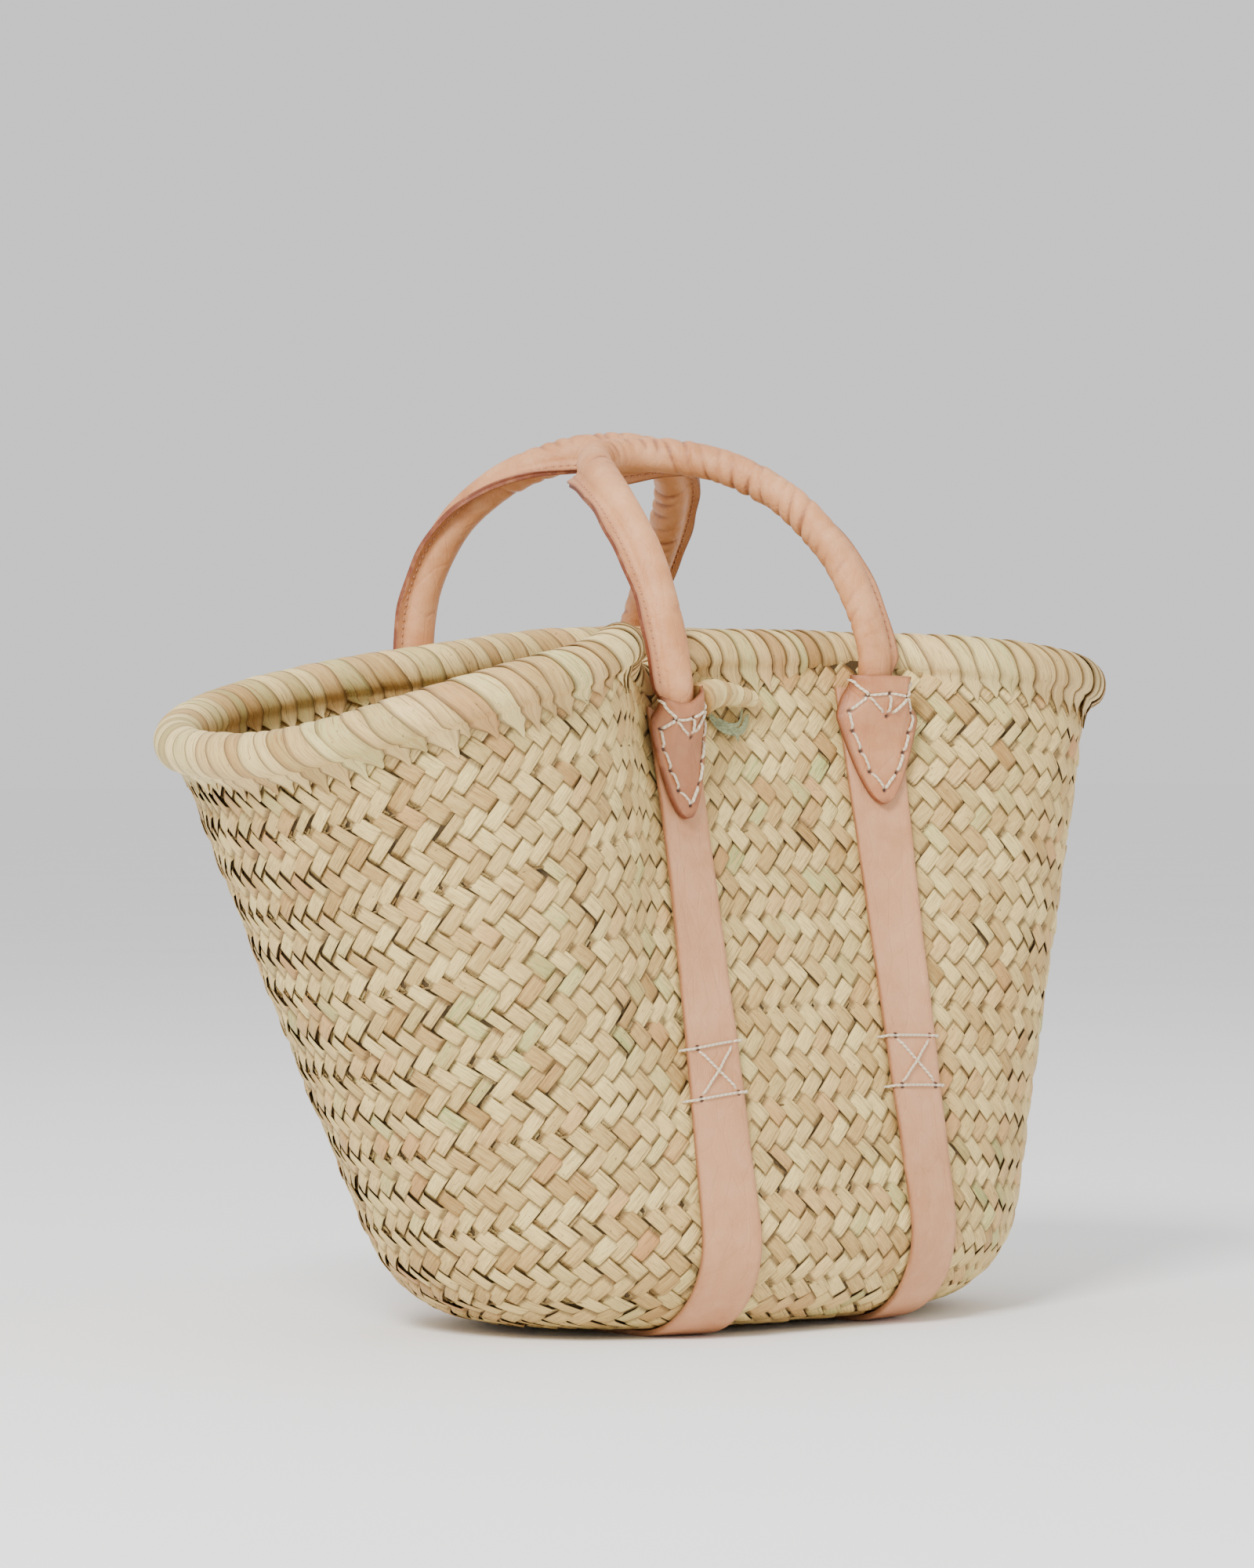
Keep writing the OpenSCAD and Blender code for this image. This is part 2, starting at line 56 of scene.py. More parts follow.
# Driving dimensions of the body, in millimetres and degrees
BASE_A, BASE_B, BASE_N = 107, 61, 2.4
BASE_X, BASE_Y, BASE_Z = 24.07, -14.85, 3.0
CORNER_LEFT, CORNER_RIGHT, CORNER_SIDE = 62, 56, 40
LEAN_LEFT, LEAN_RIGHT, END_CURL = 25.4, 13, -3.5
LEAN_FRONT_FOOT, LEAN_FRONT_RIM, LEAN_BACK = -11.8, -13.8, 5.2
WALL_T, COURSES, ROWS = 4, 8, 4
ROLL_R = 10.5
RIM_FRONT, RIM_BACK, RIM_LEFT, RIM_RIGHT = 300, 304, 252, 281
RIM_CREST_X = 40
RIM_FALL_FRONT, RIM_FALL_LEFT, RIM_FALL_RIGHT = 2.6, 1.5, 4
RIM_SWELL, RIM_SWELL_X, RIM_SWELL_W = 5, -118, 24
RIM_DIP, RIM_DIP_X, RIM_DIP_W = 15, -72, 19
CREASE_DEPTH, CREASE_X, CREASE_W = 18, -88, 25
STRAP_W, STRAP_LIFT = 29, 0.7
TAB_LEN, TAB_W, TAB_T, COLLAR_HALF = 60, 38, 2.8, 13.5
HANDLE_R, FLANGE_W = 8, 5.5
FOOT_X = (-69.5, 51.5, -58, 63)
FOOT_Z = (284, 298, 294, 300)
FOOT_GAP, FOOT_HALF, FOOT_SINK = 8.8, 6, 4.3
ROLL_GIVE, GIVE_W = (8.1, 9.1, 8.4, 10.8), 28
STRAP_MID_X = (-62, 53)
CLEAR = 0.4
FOOT_OUT = ROLL_R - WALL_T / 2 - FOOT_SINK + FOOT_HALF + CLEAR
# rise, squareness, lean at the foot, curl, skew along X and twist of the front and back handles
ARCH = ((148, 1.95, 4, 80, -18, 3), (122, 2.05, 11, 47, -2, 36))
ARCH_STEPS = 26
SIDES = ("front", "back")
CORNERS = ("front_left", "front_right", "back_left", "back_right")


# ---------------------------------------------------------------- numbers and surfaces

def cosd(a):
    return np.cos(np.radians(a))


def sind(a):
    return np.sin(np.radians(a))


def mix(a, b, f):
    return a + (b - a) * f


def bump(x, width):
    return np.exp(-(x / width) ** 2)


def sgn_pow(v, e):
    return np.sign(v) * np.abs(v) ** e


def smooth(f):
    g = np.clip(f, 0, 1)
    return g * g * (3 - 2 * g)


def unit(v):
    return v / np.linalg.norm(v, axis=-1, keepdims=True)


def stack(*parts):
    return np.stack(np.broadcast_arrays(*parts), axis=-1)


def run_along(path):
    """The length run at each point of a path."""
    return np.concatenate([[0], np.cumsum(np.linalg.norm(np.diff(path, axis=0), axis=1))])


def circle(w, across, up):
    """At each section, steps across and up to the points of a circle at angles w in radians."""
    return np.cos(w)[:, None] * across[:, None] + np.sin(w)[:, None] * up[:, None]


def mean_cos(a, b):
    turn = np.radians(b - a)
    still = np.abs(turn) < 2e-4
    return np.where(still, cosd(a), (sind(b) - sind(a)) / np.where(still, 1, turn))


def mean_sin(a, b):
    turn = np.radians(b - a)
    still = np.abs(turn) < 2e-4
    return np.where(still, sind(a), (cosd(a) - cosd(b)) / np.where(still, 1, turn))


class Profile:
    """What the wall's upright profile is at each angle a round the basket."""

    def __init__(self, a):
        c, s = cosd(a), sind(a)
        self.front = s < -1e-12
        self.edge_x = BASE_A * sgn_pow(c, 2 / BASE_N)
        self.edge_y = BASE_B * sgn_pow(s, 2 / BASE_N)
        size = np.hypot(c / BASE_A, s / BASE_B)
        self.out_x, self.out_y = c / BASE_A / size, s / BASE_B / size
        share = np.abs(c) ** 3
        end = np.where(c < 0, LEAN_LEFT, LEAN_RIGHT)
        self.low = mix(np.where(self.front, LEAN_FRONT_FOOT, LEAN_BACK), end, share)
        self.top = mix(np.where(self.front, LEAN_FRONT_RIM, LEAN_BACK), end + END_CURL, share)
        self.bend_r = mix(CORNER_SIDE, np.where(c < 0, CORNER_LEFT, CORNER_RIGHT), share)
        self.bend_h = self.bend_r * cosd(self.low)
        self.bend_z = BASE_Z + self.bend_r * (1 - sind(self.low))
        self.bend_len = self.bend_r * np.radians(90 - self.low)

    def rise(self, z):
        return (z - self.bend_z) / mean_cos(self.low, self.top)

    def level_x(self):
        return self.edge_x + self.out_x * (self.bend_h + self.rise(RIM_FRONT) * mean_sin(self.low, self.top))

    def slant(self):
        x = self.level_x()
        ends = np.where(x < 0, LEVEL_LEFT, LEVEL_RIGHT)
        fall = RIM_FRONT - np.where(x < 0, RIM_LEFT, RIM_RIGHT)
        front = RIM_FRONT - fall * np.abs(x / ends) ** RIM_FALL_FRONT
        left = np.clip((RIM_CREST_X - x) / (RIM_CREST_X - LEVEL_LEFT), 0, None)
        right = np.clip((x - RIM_CREST_X) / (LEVEL_RIGHT - RIM_CREST_X), 0, None)
        back = (RIM_BACK - (RIM_BACK - RIM_LEFT) * left ** RIM_FALL_LEFT
                - (RIM_BACK - RIM_RIGHT) * right ** RIM_FALL_RIGHT)
        return self.bend_len + self.rise(np.where(self.front, front, back))

    def swell(self):
        x = self.level_x()
        rise = RIM_SWELL * bump(x - RIM_SWELL_X, RIM_SWELL_W)
        return np.where(self.front, rise - RIM_DIP * bump(x - RIM_DIP_X, RIM_DIP_W), 0)


LEVEL_LEFT, LEVEL_RIGHT = (float(Profile(np.array([float(a)])).level_x()[0]) for a in (180, 0))


def wall_point(a, t):
    """The point of the wall's outer face at angle a and share t of its slant."""
    a, t = np.broadcast_arrays(np.asarray(a, float), np.asarray(t, float))
    p = Profile(a)
    total = p.slant()
    s = t * total + p.swell() * t ** 4
    above = s - p.bend_len
    lean = mix(p.low, p.top, np.clip(above, 0, None) / (total - p.bend_len))
    bent = s < p.bend_len
    phi = np.where(bent, s / p.bend_len * (90 - p.low), 90 - lean)
    h = np.where(bent, p.bend_r * sind(phi), p.bend_h + above * mean_sin(p.low, lean))
    z = np.where(bent, BASE_Z + p.bend_r * (1 - cosd(phi)), p.bend_z + above * mean_cos(p.low, lean))
    x = p.edge_x + h * p.out_x
    press = np.where(p.front, t ** 3 * CREASE_DEPTH * bump(x - CREASE_X, CREASE_W), 0)
    return stack(BASE_X + x, BASE_Y + p.edge_y + h * p.out_y + press, z)


def wall(a, t):
    """Point, outward normal and direction round the wall."""
    a, t = np.broadcast_arrays(np.asarray(a, float), np.asarray(t, float))
    along = unit(wall_point(a + 0.5, t) - wall_point(a - 0.5, t))
    low = np.clip(t - 0.01, 0, None)
    normal = unit(np.cross(along, wall_point(a, low + 0.01) - wall_point(a, low)))
    return wall_point(a, t), normal, along


def angle_at(x, t, side):
    """The angle at which the wall passes x, by halving. side is -1 for the front and 1 for the back."""
    x, t = np.broadcast_arrays(np.asarray(x, float), np.asarray(t, float))
    low, high = np.full(x.shape, -88.0), np.full(x.shape, 88.0)
    for _ in range(18):
        mid = (low + high) / 2
        before = wall_point(270 + mid if side < 0 else 90 - mid, t)[..., 0] < x
        low, high = np.where(before, mid, low), np.where(before, high, mid)
    return 270 + low if side < 0 else 90 - low


def share_at(x, z, side):
    """The share of the slant at which the wall reaches height z beside x, by halving."""
    low, high = 0.1, 1.0
    for _ in range(16):
        mid = (low + high) / 2
        under = wall_point(angle_at(x, mid, side), mid)[2] < z
        low, high = (mid, high) if under else (low, mid)
    return low


def side_of(k):
    return -1 if k < 2 else 1


FOOT_T = [share_at(BASE_X + FOOT_X[k], FOOT_Z[k], side_of(k)) for k in range(4)]
FOOT_A = [float(angle_at(BASE_X + FOOT_X[k], FOOT_T[k], side_of(k))) for k in range(4)]
FOOT = [wall_point(FOOT_A[k], FOOT_T[k]) + np.array([0, side_of(k) * FOOT_OUT, 0]) for k in range(4)]
FOOT_SLANT = [float(Profile(np.array([FOOT_A[k]])).slant()[0]) for k in range(4)]


def below(k, d):
    """The share of the slant that lies d mm below foot k."""
    return FOOT_T[k] - d / FOOT_SLANT[k]


def roll_frame(a):
    """The rim roll's centre with its out, up and along directions."""
    p, n, along = wall(a, 1.0)
    x = p[..., 0] - BASE_X
    front = sind(a) < 0
    press = np.zeros(x.shape)
    for k in range(4):
        press = np.maximum(press, np.where(front == (k < 2), ROLL_GIVE[k] * bump(x - FOOT_X[k], GIVE_W), 0))
    plan = unit(n * np.array([1, 1, 0]))
    return p - n * WALL_T / 2 - plan * press[..., None], n, np.cross(n, along), along


# ---------------------------------------------------------------- meshes

def new_mesh(name, verts, faces, material, body="basket", sharp=None):
    mesh = bpy.data.meshes.new(name)
    mesh.from_pydata((verts * MM).tolist(), [], faces.tolist() if isinstance(faces, np.ndarray) else faces)
    mesh.validate()
    mesh.shade_smooth()
    if sharp:
        mesh.set_sharp_from_angle(angle=math.radians(sharp))
    mesh.materials.append(material)
    obj = bpy.data.objects.new(name, mesh)
    bpy.context.scene.collection.objects.link(obj)
    if body:
        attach(obj, body)
    return obj


# What materials read at the points of a mesh
KINDS = {"leaf": ("FLOAT_VECTOR", "vector"), "tint": ("FLOAT_COLOR", "color"),
         "wear": ("FLOAT", "value"), "hole": ("FLOAT", "value")}


def add_values(obj, **values):
    for name, numbers in values.items():
        kind, field = KINDS[name]
        made = obj.data.attributes.new(name, kind, "POINT")
        made.data.foreach_set(field, np.ascontiguousarray(numbers, np.float32).ravel())


def loop_faces(n, k, closed=False, capped=True):
    """Quads of a tube through n sections of k points, with its ends closed by strips."""
    i = np.arange(n if closed else n - 1)[:, None]
    j = np.arange(k)[None, :]
    a, b = i * k + j, i * k + (j + 1) % k
    c, d = (i + 1) % n * k + j, (i + 1) % n * k + (j + 1) % k
    quads = np.stack([a, b, d, c], -1).reshape(-1, 4)
    if closed or not capped:
        return quads
    j = np.arange(k // 2 - 1)
    cap = np.stack([j, j + 1, k - 2 - j, k - 1 - j], -1)
    return np.concatenate([quads, cap[:, ::-1], cap + (n - 1) * k])


def many_tubes(points, closed=False):
    """points is tubes x sections x loop. Returns all vertices and the faces of every tube."""
    m, n, k = points.shape[:3]
    one = loop_faces(n, k, closed)
    faces = (one[None] + (np.arange(m) * n * k)[:, None, None]).reshape(-1, 4)
    return points.reshape(-1, 3), faces


def path_frames(path):
    """Directions across a path, carried along it without twist."""
    tangent = unit(np.gradient(path, axis=0))
    side = np.cross(tangent[0], [0.3, 0.2, 1.0])
    rows = []
    for t in tangent:
        side = unit(side - t * np.dot(side, t))
        rows.append(side)
    side = np.array(rows)
    return tangent, side, np.cross(tangent, side)


def thread_tube(path, radius, sides=8, flat=1.0, up=None):
    """One length of thread along a path of points, thinner at both ends."""
    tangent, side, other = path_frames(path)
    if up is not None:
        other = unit(up - tangent * np.sum(up * tangent, -1, keepdims=True))
        side = np.cross(other, tangent)
    w = np.linspace(0, 2 * np.pi, sides, endpoint=False)
    f = np.linspace(0, 1, len(path))
    r = radius * np.clip(np.minimum(f, 1 - f) * 12 + 0.45, 0, 1)
    return path[:, None] + r[:, None, None] * circle(w, side, flat * other)


def smooth_path(points, n):
    """n points on a smooth curve through the given ones."""
    points = np.asarray(points, float)
    u = np.linspace(0, len(points) - 1, n)
    i = np.clip(u.astype(int), 0, len(points) - 2)
    f = (u - i)[:, None]
    p0, p1 = points[np.clip(i - 1, 0, None)], points[i]
    p2, p3 = points[i + 1], points[np.clip(i + 2, None, len(points) - 1)]
    return 0.5 * (2 * p1 + (p2 - p0) * f + (2 * p0 - 5 * p1 + 4 * p2 - p3) * f ** 2
                  + (3 * p1 - p0 - 3 * p2 + p3) * f ** 3)


# ---------------------------------------------------------------- materials

def linear(hex_color):
    parts = [int(hex_color[i:i + 2], 16) / 255 for i in (1, 3, 5)]
    return [p / 12.92 if p <= 0.04045 else ((p + 0.055) / 1.055) ** 2.4 for p in parts] + [1]


class Nodes:
    """A short way to build one material's node tree."""

    def __init__(self, name, roughness, **settings):
        self.material = bpy.data.materials.new(name)
        self.material.use_nodes = True
        self.tree = self.material.node_tree
        self.shader = self.tree.nodes["Principled BSDF"]
        self.shader.inputs["Roughness"].default_value = roughness
        for key, value in settings.items():
            self.shader.inputs[key.replace("_", " ")].default_value = value

    def make(self, kind, inputs=None, **settings):
        node = self.tree.nodes.new(kind)
        for key, value in settings.items():
            setattr(node, key, value)
        for key, value in (inputs or {}).items():
            self.put(value, node.inputs[key])
        return node

    def put(self, value, socket):
        if isinstance(value, bpy.types.NodeSocket):
            self.tree.links.new(value, socket)
        else:
            socket.default_value = value

    def math(self, operation, a, b=0.0, c=0.0):
        return self.make("ShaderNodeMath", {0: a, 1: b, 2: c}, operation=operation).outputs[0]

    def attribute(self, name):
        return self.make("ShaderNodeAttribute", attribute_name=name)

    def split(self, vector):
        return self.make("ShaderNodeSeparateXYZ", {0: vector}).outputs

    def scaled(self, vector, factors):
        return self.make("ShaderNodeVectorMath", {0: vector, 1: factors}, operation="MULTIPLY").outputs[0]

    def noise(self, vector, scale, detail=3.0, roughness=0.55):
        return self.make("ShaderNodeTexNoise", {"Vector": vector, "Scale": scale, "Detail": detail,
                                                "Roughness": roughness}).outputs["Fac"]

    def ramp(self, value, low, high):
        limits = {"Value": value, "From Min": low, "From Max": high}
        return self.make("ShaderNodeMapRange", limits).outputs[0]

    def blend(self, factor, a, b):
        node = self.make("ShaderNodeMix", data_type="RGBA")
        for value, socket in ((factor, node.inputs[0]), (a, node.inputs[6]), (b, node.inputs[7])):
            self.put(value, socket)
        return node.outputs[2]

    def object_space(self):
        return self.make("ShaderNodeTexCoord").outputs["Object"]

    def cells(self, vector, scale):
        inputs = {"Vector": vector, "Scale": scale}
        return self.make("ShaderNodeTexVoronoi", inputs, feature="DISTANCE_TO_EDGE").outputs[0]

    def bumped(self, height, strength, distance, before=None):
        inputs = {"Height": height, "Strength": strength, "Distance": distance}
        if before is not None:
            inputs["Normal"] = before
        return self.make("ShaderNodeBump", inputs).outputs[0]

    def finish(self, color, normal=None, roughness=None):
        self.put(color, self.shader.inputs["Base Color"])
        if normal is not None:
            self.put(normal, self.shader.inputs["Normal"])
        if roughness is not None:
            self.put(roughness, self.shader.inputs["Roughness"])
        return self.material


def leaf_material(name, light, dark, pink, green, ridges=1.0):
    """Dried palm leaf. Attribute "leaf" holds mm along, share across and a number per leaf, "tint" its tone,
    pinkness and greenness, and a third attribute is 1 at its edges and ends, where painted shade darkens it."""
    n = Nodes(name, 0.52, Specular_IOR_Level=0.35)
    leaf = n.attribute("leaf").outputs["Vector"]
    tint = n.make("ShaderNodeSeparateColor", {0: n.attribute("tint").outputs["Color"]}).outputs
    place = n.object_space()
    streak = n.noise(n.scaled(leaf, (0.035, 3.2, 17.0)), 1.6, 4.0, 0.6)
    fine = n.noise(n.scaled(leaf, (0.09, 11.0, 31.0)), 1.8, 2.0, 0.5)
    blotch = n.noise(place, 19.0, 2.0)
    mottle = n.noise(place, 260.0, 3.0)
    tone = n.math("ADD", n.math("MULTIPLY", tint[0], 0.6), n.math("MULTIPLY", streak, 0.5))
    color = n.blend(n.ramp(tone, 0.16, 0.72), linear(dark), linear(light))
    color = n.blend(n.math("MULTIPLY", tint[1], n.ramp(blotch, 0.3, 0.62)), color, linear(pink))
    color = n.blend(n.math("MULTIPLY", tint[2], n.ramp(streak, 0.3, 0.6)), color, linear(green))
    parts = n.split(leaf)
    from_fold = n.math("ABSOLUTE", n.math("SUBTRACT", parts[1], 0.78))
    fold = n.math("SUBTRACT", 1.0, n.ramp(from_fold, 0.012, 0.04))
    folded = n.math("MULTIPLY", fold, n.ramp(n.noise(n.scaled(leaf, (0.03, 0, 4.3)), 2.0), 0.47, 0.55))
    color = n.blend(n.math("MULTIPLY", folded, 0.6), color, linear("#7b5a30"))
    lines = n.ramp(fine, 0.36, 0.5)
    color = n.blend(n.math("SUBTRACT", 0.42, n.math("MULTIPLY", lines, 0.42)), color, linear("#8f6f42"))
    # Painted shade where leaves meet at their edges and where they dive under one another
    edge = n.attribute("wear").outputs["Fac"]
    color = n.blend(n.math("MULTIPLY", edge, 0.8), color, linear("#573a1a"))
    specks = n.ramp(n.noise(place, 620.0, 1.0), 0.735, 0.76)
    stains = n.ramp(n.math("MULTIPLY", mottle, blotch), 0.36, 0.46)
    color = n.blend(n.math("MULTIPLY", specks, 0.65), color, linear("#6e5030"))
    color = n.blend(n.math("MULTIPLY", stains, 0.25), color, linear("#a98a5c"))
    normal = n.bumped(streak, 0.8 * ridges, 0.0012)
    normal = n.bumped(fine, 0.7 * ridges, 0.0005, normal)
    normal = n.bumped(folded, -0.6, 0.0006, normal)
    return n.finish(color, normal, n.math("ADD", 0.4, n.math("MULTIPLY", streak, 0.28)))


def cord_material(name, light, dark):
    """Twisted or bundled palm fibre."""
    n = Nodes(name, 0.75, Specular_IOR_Level=0.2)
    leaf = n.attribute("leaf").outputs["Vector"]
    strands = n.noise(n.scaled(leaf, (0.12, 9.0, 5.0)), 2.0, 4.0, 0.7)
    color = n.blend(n.ramp(strands, 0.35, 0.65), linear(dark), linear(light))
    color = n.blend(n.ramp(n.noise(n.object_space(), 90.0), 0.45, 0.7), color, linear(dark))
    return n.finish(color, n.bumped(strands, 0.9, 0.0008))


def leather_material(name, base, deep, pale, edge, grain=1.0, rough=0.5):
    """Vegetable-tanned leather with fine grain, creases and darker, rubbed edges. Its wear attribute is 1 at
    an edge and also holds the painted shade in the hollows of a handle's pleats; "hole" is 1 in a sewing
    hole, which is darkened as painted shade."""
    n = Nodes(name, rough, Specular_IOR_Level=0.4)
    place = n.object_space()
    wear = n.attribute("wear").outputs["Fac"]
    hole = n.attribute("hole").outputs["Fac"]
    cloud = n.noise(place, 26.0, 3.0)
    patch = n.noise(place, 95.0, 4.0, 0.6)
    crease = n.noise(n.scaled(place, (1.0, 1.0, 0.28)), 210.0, 5.0, 0.65)
    grains = n.cells(place, 1150.0)
    veins = n.cells(n.scaled(place, (1.0, 1.0, 0.45)), 120.0)
    color = n.blend(n.ramp(cloud, 0.3, 0.72), linear(deep), linear(base))
    color = n.blend(n.math("MULTIPLY", n.ramp(patch, 0.45, 0.75), 0.45), color, linear(pale))
    fold = n.math("MULTIPLY", n.math("SUBTRACT", 1.0, n.ramp(veins, 0.0, 0.045)), n.ramp(crease, 0.45, 0.7))
    color = n.blend(n.math("MULTIPLY", fold, 0.28), color, linear(deep))
    # Rubbed darker edges, and painted shade in the hollows of the handles' pleats
    color = n.blend(n.math("MULTIPLY", wear, n.ramp(patch, 0.1, 0.5)), color, linear(edge))
    # Painted shade in sewing holes and awl holes
    color = n.blend(hole, color, linear("#4a2f22"))
    normal = n.bumped(n.ramp(grains, 0.0, 0.25), 0.16 * grain, 0.0003)
    normal = n.bumped(crease, 0.32 * grain, 0.0009, normal)
    normal = n.bumped(n.ramp(veins, 0.0, 0.07), 0.14 * grain, 0.0007, normal)
    return n.finish(color, normal, n.math("ADD", rough - 0.12, n.math("MULTIPLY", patch, 0.24)))


def thread_material(name, light, dark, turns):
    """Plied thread: a fine wave along its length, from attribute "leaf"."""
    n = Nodes(name, 0.55, Specular_IOR_Level=0.3, Sheen_Weight=0.2)
    parts = n.split(n.attribute("leaf").outputs["Vector"])
    phase = n.math("ADD", n.math("MULTIPLY", parts[0], turns), n.math("MULTIPLY", parts[1], 6.2832))
    ply = n.math("ADD", n.math("MULTIPLY", n.math("SINE", phase), 0.5), 0.5)
    color = n.blend(ply, linear(dark), linear(light))
    color = n.blend(n.math("MULTIPLY", n.noise(n.object_space(), 300.0), 0.3), color, linear(dark))
    return n.finish(color, n.bumped(ply, 0.7, 0.0003))


PALM = leaf_material("palm_leaf", "#f3d68c", "#a97c3c", "#cf9459", "#a3af68")
RIM_LEAF = leaf_material("rim_leaf", "#efd38f", "#b4884a", "#d6a268", "#b3b873", 0.6)
GREEN_LEAF = leaf_material("green_leaf", "#c6cc9c", "#98a168", "#c7b98c", "#9fb27c")
# Dark leaf colours for the backing shell: painted shade in the gaps of the plait
SHADE_BACKING = leaf_material("backing_painted_shade", "#7d6238", "#4b371d", "#6b4c2c", "#5c5a38")
CORD = cord_material("palm_cord", "#c3a66c", "#7a5f38")
STRAP = leather_material("strap_leather", "#d49c72", "#c2875c", "#dbab84", "#a06c48", 1.5, 0.52)
TAB = leather_material("tab_leather", "#c78a5e", "#b06f46", "#d5a078", "#7c4528", 1.5, 0.48)
HANDLE = leather_material("handle_leather", "#dc9c6a", "#bd7c4c", "#e8b486", "#7e432a", 1.5, 0.47)
THREAD = thread_material("waxed_thread", "#f0e4cb", "#cdb692", 2.6)
SEWING = thread_material("sewing_thread", "#d9a27c", "#a56a48", 5.0)


# ---------------------------------------------------------------- plaited leaves

# Samples along a float, from one dive under to the next, and a leaf's section: [share across, height]
FLOAT_STOPS = np.array([0.0, 0.1, 0.28, 0.7, 1.3, 1.72, 1.9])
LEAF_LOOP = np.array([[-1, 0], [-0.88, 0.8], [-0.3, 1.05], [0.3, 1.05],
                      [0.88, 0.8], [1, 0], [0.7, -0.8], [-0.7, -0.8]])
# A dive's length in leaves crossed, half a leaf's thickness in mm, and how far a float rises in mm
DIVE, LEAF_BODY, WEAVE_RISE = 0.3, 0.4, 1.05
# Half the thickness of the backing, and the depth of a band's middle under the wall's outer face
BACKING_HALF, MID_DEPTH = 0.08, 1.75
COS_45 = 0.707
# How leaves differ in width and place, and how floats differ in tilt, height and width
LEAF_WIDTH, LEAF_SHIFT = (0.98, 1.12), 0.1
TILT, TILT_RANGE, TILT_RISE, PUFF_RANGE = 0.42, 0.9, 0.9, 0.5
FLOAT_WIDTH, SLIM_WIDTH, SLIM_ABOVE = (0.96, 1.05), 0.74, 0.95
# Where the painted shade along a leaf's edges starts, and how dark the painted shade is where a float dives
EDGE_SHADE_FROM, DIVE_SHADE = 0.95, 0.85


def leaf_tint(place, lean, turn, warm, cool, shade):
    """Tone, pinkness and greenness from random numbers; pink and green leaves gather in patches."""
    x, z = place[..., 0], place[..., 2]
    pink_patch = 0.5 + 0.5 * np.sin(x * 0.021 + z * 0.033 + 1.7 * lean)
    green_patch = 0.5 + 0.5 * np.sin(x * -0.017 + z * 0.027 + 2.1)
    tone = shade * 0.55 + turn * 0.45
    pink = np.clip((warm - 0.62) * 2.4, 0, 1) * mix(0.25, 1.0, pink_patch)
    green = np.clip((cool * 0.6 + turn * 0.4 - 0.68) * 4, 0, 1) * mix(0.15, 1.0, green_patch)
    return stack(tone, pink, green, np.ones_like(tone))


